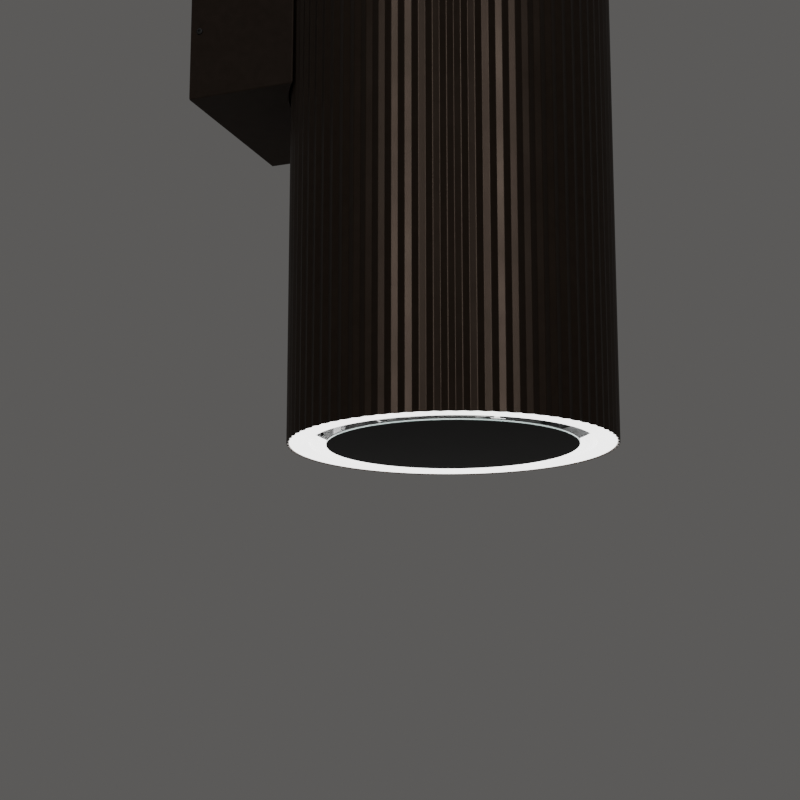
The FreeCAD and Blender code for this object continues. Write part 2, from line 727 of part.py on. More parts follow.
def arm_cover():
    """Visible trough of the arm: two sides and the bottom, with folded hems at the hood's end."""
    z0 = ARM_BOTTOM
    z1 = ARM_BOTTOM + ARM_HEIGHT
    outer = arm_sleeve(0, z0, z1)
    inner = arm_sleeve(ARM_SHEET, z0 + ARM_SHEET, z1)
    trough = outer.cut(inner).cut(arm_sleeve(-1, z1 - ARM_SHEET, z1 + 1))
    hem_x = ARM_WIDTH / 2 - ARM_SHEET
    hem_y = math.sqrt((RIDGE_R + ARM_GAP) ** 2 - hem_x ** 2) + 0.5
    hem = box(hem_x - ARM_SHEET, hem_x, hem_y, hem_y + HEM, z0 + ARM_SHEET, z1 - ARM_SHEET)
    return fused(trough, *both_sides(hem)).cut(cover_screw_holes(2.1))


def arm_top_plate():
    """Lid of the arm's trough."""
    z1 = ARM_BOTTOM + ARM_HEIGHT
    return arm_sleeve(0, z1 - ARM_SHEET, z1)


def arm_cover_screws():
    """Pan-head screws through the arm's sides into the wall plate's flanges."""
    screws = []
    for dz in (-COVER_SCREW_DZ, COVER_SCREW_DZ):
        head = rod(4.0, V(ARM_WIDTH / 2, COVER_SCREW_Y, ARM_CENTRE_Z + dz), 2.0, X_AXIS)
        shank = rod(1.9, V(ARM_WIDTH / 2 - 8.0, COVER_SCREW_Y, ARM_CENTRE_Z + dz), 8.0, X_AXIS)
        screws += both_sides(fused(head, shank))
    return screws


def wall_plate():
    """Plate on the wall: four bolt holes, the duct's hole, the gland's hole and two side flanges."""
    half = ARM_WIDTH / 2 - ARM_SHEET - 0.3
    top = ARM_HEIGHT / 2 - ARM_SHEET - 0.5
    z0 = ARM_CENTRE_Z - top
    z1 = ARM_CENTRE_Z + top
    plate = box(-half, half, AXIS_TO_WALL - WALL_PLATE, AXIS_TO_WALL, z0, z1)
    flange = box(half - 2.0, half, AXIS_TO_WALL - 28.0, AXIS_TO_WALL - WALL_PLATE, z0 + 12, z1 - 12)
    y0 = AXIS_TO_WALL - 10.0
    bolt_holes = [
        rod(BOLT_HOLE_R, V(sx * BOLT_X, y0, ARM_CENTRE_Z + sz * BOLT_Z), 20, Y_AXIS)
        for sx in (-1, 1) for sz in (-1, 1)
    ]
    duct = rod(SOCKET_R + DUCT_WALL + 0.3, V(0, y0, ARM_CENTRE_Z), 20, Y_AXIS)
    gland = rod(GLAND_R + 0.1, V(GLAND_X, y0, GLAND_Z), 20, Y_AXIS)
    return fused(plate, *both_sides(flange)).cut(bolt_holes + [duct, gland] + cover_screw_holes(2.1))


def cable_gland():
    """Plastic gland in the wall plate that the mains lead comes in through."""
    stem = rod(GLAND_R, V(GLAND_X, AXIS_TO_WALL - 24.0, GLAND_Z), 23.5, Y_AXIS)
    nut = rod(11.0, V(GLAND_X, AXIS_TO_WALL - 24.0, GLAND_Z), 10.0, Y_AXIS)
    hole = rod(GLAND_HOLE_R, V(GLAND_X, AXIS_TO_WALL - 30.0, GLAND_Z), 40.0, Y_AXIS)
    return fused(stem, nut).cut(hole)


# ---- duct ----

def outlet_adapter():
    """Shallow plenum on the shelf with the round collar and the flaps' seat."""
    z0 = SHELF_Z + SHELF
    z1 = z0 + 25.0
    half = DUCT_R + 8.0
    shell = box(-half, half, DUCT_Y - half, DUCT_Y + half, z0, z1)
    hollow = box(-half + 2, half - 2, DUCT_Y - half + 2, DUCT_Y + half - 2, z0, z1 - 2)
    centre = V(0, DUCT_Y, z1 - 5)
    collar = rod(DUCT_R, V(0, DUCT_Y, z1 - 2), COLLAR_TOP - z1 + 2)
    passage = rod(DUCT_R - DUCT_WALL, centre, COLLAR_TOP - z1 + 10)
    seat = tube(DUCT_R - DUCT_WALL, 69.0, V(0, DUCT_Y, FLAP_Z - 4.0), 3.0)
    holes = []
    for side in (-1, 1):
        start = V(-DUCT_R - 5, DUCT_Y + side * FLAP_OFFSET, FLAP_Z)
        holes.append(rod(FLAP_PIN_R + RUNNING, start, 2 * DUCT_R + 10, X_AXIS))
    return shell.fuse(collar).cut([hollow, passage]).fuse(seat).removeSplitter().cut(holes)


def damper_flap(side):
    """Half-round non-return flap with its pin, on the front (-1) or wall (+1) side."""
    disc = rod(FLAP_R, V(0, DUCT_Y, FLAP_Z - 0.6), 1.2)
    y0 = DUCT_Y + side * FLAP_OFFSET
    far = DUCT_Y + side * 100.0
    half = disc.common(box(-100, 100, min(y0, far), max(y0, far), FLAP_Z - 1, FLAP_Z + 1))
    pin = rod(FLAP_PIN_R, V(-DUCT_R + 0.1, y0, FLAP_Z), 2 * DUCT_R - 0.2, X_AXIS)
    return fused(half, pin)


def annulus(centre, axis):
    """Flat ring with the duct's section."""
    outer = Part.Wire(Part.makeCircle(DUCT_R, centre, axis))
    inner = Part.Wire(Part.makeCircle(DUCT_R - DUCT_WALL, centre, axis))
    return Part.Face(outer).cut(Part.Face(inner)).Faces[0]


def duct_elbow():
    """Quarter bend from the collar to the arm, with a straight end on each side."""
    start = V(0, DUCT_Y, BEND_START_Z)
    bend = annulus(start, Z_AXIS).revolve(V(0, DUCT_Y + BEND_R, BEND_START_Z), X_AXIS, -90.0)
    foot = tube(DUCT_R, DUCT_R - DUCT_WALL, V(0, DUCT_Y, COLLAR_TOP), BEND_START_Z - COLLAR_TOP)
    end = tube(DUCT_R, DUCT_R - DUCT_WALL, V(0, BEND_END_Y, ARM_CENTRE_Z), PIPE_START_Y - BEND_END_Y, Y_AXIS)
    return fused(bend, foot, end)


def duct_pipe():
    """Straight pipe through the rear frame into the wall socket."""
    start = V(0, PIPE_START_Y, ARM_CENTRE_Z)
    return tube(DUCT_R, DUCT_R - DUCT_WALL, start, PIPE_END_Y - PIPE_START_Y, Y_AXIS)


def duct_couplers():
    """Bands over the two duct joints."""
    outer = DUCT_R + 2.0
    inner = DUCT_R + 0.05
    lower = tube(outer, inner, V(0, DUCT_Y, COLLAR_TOP - 14), COUPLER)
    rear = tube(outer, inner, V(0, PIPE_START_Y - 15, ARM_CENTRE_Z), COUPLER, Y_AXIS)
    return [lower, rear]


def wall_duct_socket():
    """Socket that takes the wall's duct; its inner end grips the hood's own pipe."""
    length = AXIS_TO_WALL - SOCKET_START_Y
    start = V(0, SOCKET_START_Y, ARM_CENTRE_Z)
    body = rod(SOCKET_R + DUCT_WALL, start, length, Y_AXIS)
    grip = rod(DUCT_R + 0.05, start, length, Y_AXIS)
    free = rod(SOCKET_R, V(0, SOCKET_STEP_Y, ARM_CENTRE_Z), AXIS_TO_WALL - SOCKET_STEP_Y, Y_AXIS)
    return body.cut([grip, free])


# ---- electronics ----

def electronics_box():
    """Open tray for the electronics, on the +X side above the ceiling."""
    outer = box(BOX_X0, BOX_X1, -BOX_Y, BOX_Y, FLOOR_RING_TOP, BOX_TOP)
    inner = box(
        BOX_X0 + BOX_WALL, BOX_X1 - BOX_WALL, -BOX_Y + BOX_WALL, BOX_Y - BOX_WALL,
        FLOOR_RING_TOP + BOX_WALL, BOX_TOP,
    )
    return outer.cut(inner)


def electronics_lid():
    """Lid of the electronics tray."""
    lid = box(BOX_X0 - 0.5, BOX_X1 + 0.5, -BOX_Y - 0.5, BOX_Y + 0.5, BOX_TOP, BOX_TOP + 2)
    rim = box(BOX_X0 + 2.3, BOX_X1 - 2.3, -BOX_Y + 2.3, BOX_Y - 2.3, BOX_TOP - 4, BOX_TOP)
    rim = rim.cut(box(BOX_X0 + 4, BOX_X1 - 4, -BOX_Y + 4, BOX_Y - 4, BOX_TOP - 5, BOX_TOP))
    return fused(lid, rim)


def control_board():
    """Control board on four stand-offs, with its relays as low blocks."""
    board = box(BOX_X0 + 6, BOX_X1 - 6, -BOX_Y + 8, 30, BOARD_Z, BOARD_Z + 1.6)
    feet = [
        rod(3.0, V(x, y, FLOOR_RING_TOP + BOX_WALL), BOARD_Z - FLOOR_RING_TOP - BOX_WALL)
        for x in (BOX_X0 + 12, BOX_X1 - 12) for y in (-BOX_Y + 14, 24)
    ]
    relays = [box(BOX_X0 + 12, BOX_X0 + 28, y, y + 20, BOARD_Z + 1.6, BOARD_Z + 17) for y in (-68, -42, -16)]
    supply = box(BOX_X1 - 44, BOX_X1 - 12, -66, -26, BOARD_Z + 1.6, BOARD_Z + 28)
    return fused(board, *feet, *relays, supply)


def terminal_block():
    """Three-way mains terminal block."""
    body = box(BOX_X0 + 12, BOX_X0 + 46, 48, 70, FLOOR_RING_TOP + BOX_WALL, FLOOR_RING_TOP + 22)
    cuts = [rod(3.0, V(x, 59, FLOOR_RING_TOP + 12), 20) for x in (BOX_X0 + 18, BOX_X0 + 29, BOX_X0 + 40)]
    return body.cut(cuts)


def led_driver():
    """Potted supply for the light ring, with mounting ears."""
    body = box(DRIVER_X0, DRIVER_X1, -DRIVER_Y, DRIVER_Y, FLOOR_RING_TOP, FLOOR_RING_TOP + 27)
    ears = [
        box(DRIVER_X0 + 10, DRIVER_X1 - 10, y0, y0 + 12, FLOOR_RING_TOP, FLOOR_RING_TOP + 2.5)
        for y0 in (-DRIVER_Y - 12, DRIVER_Y)
    ]
    return fused(body, *ears)


def main():
    os.makedirs("parts", exist_ok=True)
    save("fluted_shell", fluted_shell())
    save("top_cap", top_cap())
    save("cap_screws", *cap_screws())
    save("upper_ring", upper_ring())
    save("lower_ring", lower_ring())
    save("light_diffuser", light_diffuser())
    save("diffuser_wall", diffuser_wall())
    save("led_carrier", *led_carrier())
    save("led_board", led_board())
    save("led_chips", *led_chips())
    save("inner_skirt", inner_skirt())
    save("skirt_screws", *skirt_screws())
    save("base_plate", base_plate())
    save("filter_frame", filter_frame())
    save("filter_mesh", filter_mesh())
    save("latch_housing", latch_housing())
    save("filter_latch", filter_latch())
    save("glass_panel", glass_panel())
    save("panel_tray", panel_tray())
    save("panel_lugs", *panel_lugs())
    save("hinge_pins", *hinge_pins())
    save("hinge_brackets", *hinge_brackets())
    save("panel_keepers", *panel_keepers())
    save("catch_magnets", *catch_magnets())
    save("catch_brackets", *catch_brackets())
    half = volute_half().cut(bush_holes(2.1))
    save("volute_right", half)
    save("volute_left", mirrored_x(half))
    save("impeller", impeller())
    save("motor_shaft", motor_shaft())
    save("motor", motor())
    save("motor_bracket", motor_bracket())
    save("inlet_rings", *inlet_rings())
    save("blower_bushes", *blower_bushes())
    save("blower_screws", *blower_screws())
    save("capacitor", capacitor())
    save("capacitor_clip", capacitor_clip())
    save("chassis_struts", *strut_columns(FLOOR_RING_TOP, SHELL_TOP - PLATE))
    save("blower_shelf", blower_shelf())
    save("rear_frame", rear_frame())
    save("arm_cheek_right", arm_cheek())
    save("arm_cheek_left", mirrored_x(arm_cheek()))
    save("frame_bolts", *frame_bolts())
    save("arm_cover", arm_cover())
    save("arm_top_plate", arm_top_plate())
    save("arm_cover_screws", *arm_cover_screws())
    save("wall_plate", wall_plate())
    save("cable_gland", cable_gland())
    save("outlet_adapter", outlet_adapter())
    save("damper_flap_front", damper_flap(-1))
    save("damper_flap_rear", damper_flap(1))
    save("duct_elbow", duct_elbow())
    save("duct_pipe", duct_pipe())
    save("duct_couplers", *duct_couplers())
    save("wall_duct_socket", wall_duct_socket())
    save("electronics_box", electronics_box())
    save("electronics_lid", electronics_lid())
    save("control_board", control_board())
    save("terminal_block", terminal_block())
    save("led_driver", led_driver())


main()
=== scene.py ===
import json
import math

import bmesh
import bpy
from mathutils import Matrix, Vector


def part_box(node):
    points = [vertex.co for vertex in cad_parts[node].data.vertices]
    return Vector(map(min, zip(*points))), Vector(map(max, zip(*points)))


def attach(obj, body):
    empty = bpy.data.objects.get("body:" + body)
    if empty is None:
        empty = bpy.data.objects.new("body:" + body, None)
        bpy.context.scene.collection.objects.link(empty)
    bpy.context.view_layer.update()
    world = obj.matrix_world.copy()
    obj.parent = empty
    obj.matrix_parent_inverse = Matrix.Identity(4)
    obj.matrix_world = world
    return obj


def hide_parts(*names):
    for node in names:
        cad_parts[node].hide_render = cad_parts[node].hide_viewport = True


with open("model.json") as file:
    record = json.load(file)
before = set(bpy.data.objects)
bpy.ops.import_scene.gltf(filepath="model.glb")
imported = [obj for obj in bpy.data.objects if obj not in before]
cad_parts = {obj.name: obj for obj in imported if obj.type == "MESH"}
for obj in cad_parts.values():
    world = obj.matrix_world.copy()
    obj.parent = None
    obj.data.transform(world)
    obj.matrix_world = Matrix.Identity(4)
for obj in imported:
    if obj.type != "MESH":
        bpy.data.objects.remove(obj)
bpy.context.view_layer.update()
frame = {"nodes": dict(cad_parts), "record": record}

MM = 0.001
MERGE_DISTANCE = 0.001 * MM


def half_width(node):
    """Half of a node's size along X."""
    low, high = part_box(node)
    return (high.x - low.x) / 2


# ---- places and sizes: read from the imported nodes, or typed where no box gives them ----
shell_low, shell_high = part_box("fluted_shell")
AXIS = Vector(((shell_low.x + shell_high.x) / 2, (shell_low.y + shell_high.y) / 2, 0))
FOOT_Z = shell_low.z
SHELL_TOP = shell_high.z
RIDGE_R = half_width("fluted_shell")
CAP_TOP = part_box("top_cap")[1].z
PLEATS = 78
PLEAT_DEPTH = 2.5 * MM
FIRST_RIDGE = math.radians(197.6)
FOLD_R = 3.0 * MM
FOLD_STEPS = 5
SHEET = 0.8 * MM
WINDOW_HALF = 104 * MM
WINDOW_MARGIN = 12 * MM
COLLAR_R = 144.5 * MM
COLLAR_DEPTH = 14 * MM
PLATE = 1.5 * MM
SKIRT_SHEET = 1.2 * MM
THROAT_R = half_width("inner_skirt") - SKIRT_SHEET
RING_R = half_width("light_diffuser")
RING_LOW, RING_HIGH = (corner.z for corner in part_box("light_diffuser"))
LIGHT_WALL = half_width("diffuser_wall") - THROAT_R
LIGHT_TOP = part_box("diffuser_wall")[1].z
CEILING_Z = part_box("base_plate")[0].z
GLASS_R = half_width("glass_panel")
GLASS_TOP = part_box("glass_panel")[1].z
arm_low, arm_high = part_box("arm_cover")
ARM_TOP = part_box("arm_top_plate")[1].z
ARM_SHEET = 1.5 * MM
ARM_BEND_R = 2.2 * MM
ARM_NOTCH_R = RIDGE_R + 2.5 * MM
HEM = 10 * MM
HEM_LEAD = 0.5 * MM
HEM_GAP = 0.05 * MM
ARM_HALF = arm_high.x

# head radius, head height, shank radius and shank length
THROAT_SCREW = (2.8 * MM, 1.8 * MM, 1.5 * MM, 6 * MM)
ARM_SCREW = (4 * MM, 2 * MM, 1.9 * MM, 8 * MM)
CAP_SCREW = (4 * MM, 2 * MM, 1.9 * MM, 9.5 * MM)
THROAT_SCREW_HEIGHT = 27 * MM
CAP_SCREW_START = math.radians(30)


# ---- mesh helpers ----

def new_piece(name, points, faces, slot, smooth_deg, body="hood", extra=(), face_slots=None):
    """Makes a clean mesh object in its slot's material, smooth up to an angle, that rides on a body."""
    mesh = bpy.data.meshes.new(name)
    mesh.from_pydata([tuple(p) for p in points], [], faces)
    for material in (MATERIALS[slot], *extra):
        mesh.materials.append(material)
    if face_slots:
        for polygon, index in zip(mesh.polygons, face_slots):
            polygon.material_index = index
    clean = bmesh.new()
    clean.from_mesh(mesh)
    bmesh.ops.remove_doubles(clean, verts=clean.verts, dist=MERGE_DISTANCE)
    bmesh.ops.recalc_face_normals(clean, faces=clean.faces)
    clean.to_mesh(mesh)
    clean.free()
    mesh.shade_smooth()
    mesh.set_sharp_from_angle(angle=math.radians(smooth_deg))
    piece = bpy.data.objects.new(name, mesh)
    bpy.context.scene.collection.objects.link(piece)
    weighted = piece.modifiers.new("weighted", "WEIGHTED_NORMAL")
    weighted.keep_sharp = True
    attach(piece, body)
    return piece


def join_loops(loops, closed=True):
    """Faces between loops of equal length; closed also joins the last loop to the first."""
    count = len(loops[0])
    points = [p for loop in loops for p in loop]
    pairs = [(i, i + 1) for i in range(len(loops) - 1)]
    if closed:
        pairs.append((len(loops) - 1, 0))
    faces = []
    for a, b in pairs:
        for i in range(count):
            j = (i + 1) % count
            faces.append((a * count + i, a * count + j, b * count + j, b * count + i))
    return points, faces


def circle(radius, z, angles):
    """Loop of points round the hood's axis at the given angles."""
    return [Vector((AXIS.x + radius * math.cos(a), AXIS.y + radius * math.sin(a), z)) for a in angles]


def even_angles(count):
    """Equally spaced angles."""
    return [2 * math.pi * i / count for i in range(count)]


def lathe(profile, count):
    """Closed ring with the given (radius, z) profile."""
    angles = even_angles(count)
    return join_loops([circle(r, z, angles) for r, z in profile])


def rounded_corner(before, here, after, radius, steps):
    """Arc that rounds the corner at one point, between the directions to its two neighbours."""
    to_before = (before - here).normalized()
    to_after = (after - here).normalized()
    half = to_before.angle(to_after) / 2
    reach = radius / math.tan(half)
    centre = here + (to_before + to_after).normalized() * (radius / math.sin(half))
    start = here + to_before * reach - centre
    end = here + to_after * reach - centre
    sweep = math.atan2(start.x * end.y - start.y * end.x, start.dot(end))
    arc = []
    for step in range(steps + 1):
        a = sweep * step / steps
        turned_x = start.x * math.cos(a) - start.y * math.sin(a)
        turned_y = start.x * math.sin(a) + start.y * math.cos(a)
        arc.append(centre + Vector((turned_x, turned_y)))
    return arc


def rounded_profile(corners, steps=3):
    """Profile points for corners given as (u, v, radius), with each corner as an arc."""
    places = [Vector(corner[:2]) for corner in corners]
    profile = []
    for i, (u, v, radius) in enumerate(corners):
        if radius > 0:
            arc = rounded_corner(places[i - 1], places[i], places[(i + 1) % len(places)], radius, steps)
            profile += [tuple(p) for p in arc]
        else:
            profile.append((u, v))
    return profile


def merge(*parts):
    """One point and face list from several."""
    points = []
    faces = []
    for part_points, part_faces in parts:
        offset = len(points)
        points += part_points
        faces += [tuple(i + offset for i in face) for face in part_faces]
    return points, faces


def moved(part, matrix):
    """The part's points moved by a matrix."""
    points, faces = part
    return [matrix @ Vector(p) for p in points], faces


def rounded_rectangle(x0, x1, y0, y1, radius, steps=4):
    """Corner-rounded outline, as (x, y) points from the +X+Y corner round to the +X-Y corner."""
    outline = []
    for quadrant, (x, y) in enumerate(((x1, y1), (x0, y1), (x0, y0), (x1, y0))):
        centre_x = x - radius if quadrant in (0, 3) else x + radius
        centre_y = y - radius if quadrant in (0, 1) else y + radius
        for step in range(steps + 1):
            a = math.pi / 2 * (quadrant + step / steps)
            outline.append((centre_x + radius * math.cos(a), centre_y + radius * math.sin(a)))
    return outline


def rounded_box(low, high, radius, steps=3):
    """Box between two corners, with rounded edges and corners."""
    levels = [(low.z + radius, -math.pi / 2 * (1 - s / steps)) for s in range(steps + 1)]
    levels += [(high.z - radius, math.pi / 2 * s / steps) for s in range(steps + 1)]
    loops = []
    for centre_z, latitude in levels:
        inset = radius * (1 - math.cos(latitude))
        corner = max(radius - inset, 0.05 * radius)
        sides = (low.x + inset, high.x - inset, low.y + inset, high.y - inset)
        outline = rounded_rectangle(*sides, corner, steps)
        loops.append([Vector((x, y, centre_z + radius * math.sin(latitude))) for x, y in outline])
    return capped(loops)


def capped(loops):
    """Solid from a stack of loops, closed with a flat face at each end."""
    points, faces = join_loops(loops, closed=False)
    count = len(loops[0])
    faces.append(tuple(reversed(range(count))))
    faces.append(tuple(range(len(points) - count, len(points))))
    return points, faces


# ---- materials ----

def make_material(name):
    """Node material with one principled shader, returned with its tree and that shader."""
    material = bpy.data.materials.new(name)
    material.use_nodes = True
    tree = material.node_tree
    tree.nodes.clear()
    output = tree.nodes.new("ShaderNodeOutputMaterial")
    shader = tree.nodes.new("ShaderNodeBsdfPrincipled")
    tree.links.new(shader.outputs["BSDF"], output.inputs["Surface"])
    return material, tree, shader


# nearly all values of a noise texture lie between these
NOISE_LOW = 0.3
NOISE_HIGH = 0.7


def noise(tree, scale, detail=3.0, stretch=(1, 1, 1)):
    """Noise over the object's own coordinates, which are metres."""
    place = tree.nodes.new("ShaderNodeTexCoord")
    mapping = tree.nodes.new("ShaderNodeMapping")
    mapping.inputs["Scale"].default_value = stretch
    texture = tree.nodes.new("ShaderNodeTexNoise")
    texture.inputs["Scale"].default_value = scale
    texture.inputs["Detail"].default_value = detail
    texture.inputs["Roughness"].default_value = 0.55
    tree.links.new(place.outputs["Object"], mapping.inputs["Vector"])
    tree.links.new(mapping.outputs["Vector"], texture.inputs["Vector"])
    return texture.outputs["Fac"]


def remap(tree, value, low, high, from_low=NOISE_LOW, from_high=NOISE_HIGH, shape="LINEAR"):
    """Value stretched to a new range; low and high are numbers or sockets."""
    node = tree.nodes.new("ShaderNodeMapRange")
    node.interpolation_type = shape
    node.inputs["From Min"].default_value = from_low
    node.inputs["From Max"].default_value = from_high
    for key, level in (("To Min", low), ("To Max", high)):
        if isinstance(level, float):
            node.inputs[key].default_value = level
        else:
            tree.links.new(level, node.inputs[key])
    tree.links.new(value, node.inputs["Value"])
    return node.outputs["Result"]


def colour_between(tree, value, first, second):
    """Colour that runs from first to second with the value."""
    ramp = tree.nodes.new("ShaderNodeValToRGB")
    ramp.color_ramp.elements[0].position = NOISE_LOW
    ramp.color_ramp.elements[0].color = (*first, 1)
    ramp.color_ramp.elements[1].position = NOISE_HIGH
    ramp.color_ramp.elements[1].color = (*second, 1)
    tree.links.new(value, ramp.inputs["Fac"])
    return ramp.outputs["Color"]


def add_bump(tree, shader, value, strength, distance):
    """Bump from a value; the distance is in metres."""
    bump = tree.nodes.new("ShaderNodeBump")
    bump.inputs["Strength"].default_value = strength
    bump.inputs["Distance"].default_value = distance
    tree.links.new(value, bump.inputs["Height"])
    tree.links.new(bump.outputs["Normal"], shader.inputs["Normal"])


def lighten_edges(tree, shader, colour, edge_colour, radius):
    """Mixes in another colour where a surface bends sharply, broken up by noise as handling leaves it."""
    rounded = tree.nodes.new("ShaderNodeBevel")
    rounded.samples = 4
    rounded.inputs["Radius"].default_value = radius
    geometry = tree.nodes.new("ShaderNodeNewGeometry")
    along = tree.nodes.new("ShaderNodeVectorMath")
    along.operation = "DOT_PRODUCT"
    tree.links.new(rounded.outputs["Normal"], along.inputs[0])
    tree.links.new(geometry.outputs["Normal"], along.inputs[1])
    bent, flat = 0.90, 0.995
    edge = remap(tree, along.outputs["Value"], 1.0, 0.0, bent, flat)
    uneven = tree.nodes.new("ShaderNodeMath")
    uneven.operation = "MULTIPLY"
    tree.links.new(edge, uneven.inputs[0])
    tree.links.new(remap(tree, noise(tree, 120.0, 4.0), 0.2, 0.8), uneven.inputs[1])
    mixer = tree.nodes.new("ShaderNodeMix")
    mixer.data_type = "RGBA"
    tree.links.new(uneven.outputs["Value"], mixer.inputs["Factor"])
    tree.links.new(colour, mixer.inputs["A"])
    mixer.inputs["B"].default_value = (*edge_colour, 1)
    tree.links.new(mixer.outputs["Result"], shader.inputs["Base Color"])


def coated_metal(name, dark, light, rough=(0.34, 0.46), specular=0.5, tint=(1, 1, 1), edge=2.2):
    """Fine-textured powder coat: grain bump, mottled colour, uneven gloss and slightly lighter edges."""
    material, tree, shader = make_material(name)
    mottle = noise(tree, 90.0, 4.0)
    colour = colour_between(tree, mottle, dark, light)
    lighten_edges(tree, shader, colour, [edge * c for c in light], 0.5 * MM)
    haze = noise(tree, 14.0, 3.0)
    tree.links.new(remap(tree, haze, *rough), shader.inputs["Roughness"])
    shader.inputs["Specular IOR Level"].default_value = specular
    shader.inputs["Specular Tint"].default_value = (*tint, 1)
    add_bump(tree, shader, noise(tree, 1500.0, 2.0), 0.5, 0.06 * MM)
    return material


def bare_metal(name, dark, light, rough=(0.25, 0.45), stretch=(1, 1, 1), metallic=1.0, grain_depth=0.03 * MM):
    """Plated or bare metal with cloudy tone, uneven gloss and fine grain; stretch gives it a direction."""
    material, tree, shader = make_material(name)
    shader.inputs["Metallic"].default_value = metallic
    cloud = noise(tree, 22.0, 3.0)
    streak = noise(tree, 400.0, 4.0, stretch)
    tree.links.new(colour_between(tree, cloud, dark, light), shader.inputs["Base Color"])
    tree.links.new(remap(tree, streak, *rough), shader.inputs["Roughness"])
    add_bump(tree, shader, streak, 0.25, grain_depth)
    return material


def moulded_plastic(name, dark, light, rough=(0.38, 0.55)):
    """Moulded plastic with a fine spark-eroded grain."""
    material, tree, shader = make_material(name)
    tone = noise(tree, 25.0, 4.0)
    tree.links.new(colour_between(tree, tone, dark, light), shader.inputs["Base Color"])
    tree.links.new(remap(tree, noise(tree, 60.0, 2.0), *rough), shader.inputs["Roughness"])
    add_bump(tree, shader, noise(tree, 900.0, 2.0), 0.3, 0.05 * MM)
    return material


def opal_light(name, strength):
    """Opal acrylic lit from behind, with a faintly uneven tone."""
    material, tree, shader = make_material(name)
    tone = noise(tree, 18.0, 2.0)
    colour = colour_between(tree, tone, (0.93, 0.925, 0.915), (0.97, 0.97, 0.965))
    tree.links.new(colour, shader.inputs["Base Color"])
    tree.links.new(colour, shader.inputs["Emission Color"])
    shader.inputs["Emission Strength"].default_value = strength
    tree.links.new(remap(tree, noise(tree, 200.0, 2.0), 0.38, 0.5), shader.inputs["Roughness"])
    add_bump(tree, shader, noise(tree, 1200.0, 2.0), 0.1, 0.03 * MM)
    return material


def black_glass(name):
    """Back-enamelled glass: near-black under a clear, slightly uneven gloss."""
    material, tree, shader = make_material(name)
    tone = noise(tree, 9.0, 3.0)
    colour = colour_between(tree, tone, (0.0030, 0.0030, 0.0029), (0.0048, 0.0046, 0.0043))
    tree.links.new(colour, shader.inputs["Base Color"])
    tree.links.new(remap(tree, noise(tree, 30.0, 4.0), 0.04, 0.09), shader.inputs["Roughness"])
    shader.inputs["IOR"].default_value = 1.3
    add_bump(tree, shader, noise(tree, 4.0, 1.0), 0.05, 0.4 * MM)
    return material


def glass_edge(name):
    """Polished edge of the glass, with its green-blue tint."""
    material, tree, shader = make_material(name)
    tone = noise(tree, 60.0, 3.0)
    colour = colour_between(tree, tone, (0.36, 0.47, 0.46), (0.50, 0.62, 0.61))
    tree.links.new(colour, shader.inputs["Base Color"])
    tree.links.new(remap(tree, noise(tree, 300.0, 2.0), 0.08, 0.2), shader.inputs["Roughness"])
    add_bump(tree, shader, noise(tree, 500.0, 2.0), 0.1, 0.03 * MM)
    return material


MATERIALS = {
    "shell_paint": coated_metal(
        "shell_paint", (0.0102, 0.0072, 0.0052), (0.0134, 0.0096, 0.0070),
        (0.30, 0.38), 0.32, tint=(1.0, 0.78, 0.65),
    ),
    "arm_paint": coated_metal(
        "arm_paint", (0.0160, 0.0120, 0.0096), (0.0200, 0.0150, 0.0120),
        (0.44, 0.56), 0.12, tint=(1.0, 0.80, 0.68),
    ),
    "opal": opal_light("opal", 3.8),
    "black_glass": black_glass("black_glass"),
    "zinc": bare_metal(
        "zinc", (0.80, 0.81, 0.82), (0.87, 0.88, 0.89), (0.46, 0.54), (1, 1, 5), 0.15, 0.004 * MM,
    ),
    # Near black as painted shade: it keeps the base plate and the plate on the glass black, standing in for
    # the shaded inside of the hood seen through the gap round the glass.
    "black_sheet": coated_metal(
        "black_sheet", (0.007, 0.007, 0.007), (0.011, 0.011, 0.011), (0.6, 0.75), 0.15,
    ),
    "filter_alloy": bare_metal(
        "filter_alloy", (0.68, 0.68, 0.68), (0.82, 0.82, 0.81), (0.25, 0.42), (1, 8, 1),
    ),
    "latch_grey": moulded_plastic("latch_grey", (0.26, 0.27, 0.265), (0.32, 0.33, 0.325)),
    "fastener": bare_metal("fastener", (0.42, 0.42, 0.44), (0.58, 0.58, 0.60), (0.22, 0.4)),
    "black_screw": coated_metal(
        "black_screw", (0.008, 0.008, 0.008), (0.014, 0.014, 0.014), (0.5, 0.65), 0.3, edge=1.4,
    ),
    "blower_plastic": moulded_plastic("blower_plastic", (0.018, 0.018, 0.019), (0.026, 0.026, 0.028)),
    "wheel_plastic": moulded_plastic("wheel_plastic", (0.13, 0.135, 0.14), (0.17, 0.175, 0.18)),
    "motor_steel": coated_metal("motor_steel", (0.10, 0.10, 0.105), (0.13, 0.13, 0.135), (0.3, 0.45)),
    "shaft_steel": bare_metal(
        "shaft_steel", (0.55, 0.55, 0.56), (0.70, 0.70, 0.71), (0.12, 0.25), (12, 1, 1),
    ),
    "rubber": moulded_plastic("rubber", (0.012, 0.012, 0.012), (0.020, 0.020, 0.020), (0.7, 0.85)),
    "capacitor_white": moulded_plastic("capacitor_white", (0.62, 0.62, 0.60), (0.70, 0.70, 0.68)),
    "duct_plastic": moulded_plastic("duct_plastic", (0.60, 0.60, 0.59), (0.67, 0.67, 0.66)),
    "board_green": moulded_plastic("board_green", (0.02, 0.10, 0.045), (0.03, 0.13, 0.06), (0.25, 0.4)),
    "board_white": moulded_plastic("board_white", (0.66, 0.66, 0.64), (0.74, 0.74, 0.72), (0.3, 0.45)),
    "led": moulded_plastic("led", (0.70, 0.62, 0.30), (0.80, 0.72, 0.38), (0.3, 0.5)),
    "magnet": bare_metal("magnet", (0.60, 0.60, 0.61), (0.74, 0.74, 0.75), (0.12, 0.25)),
}
GLASS_EDGE = glass_edge("glass_edge")
GLASS_EDGE_SLOT = 1
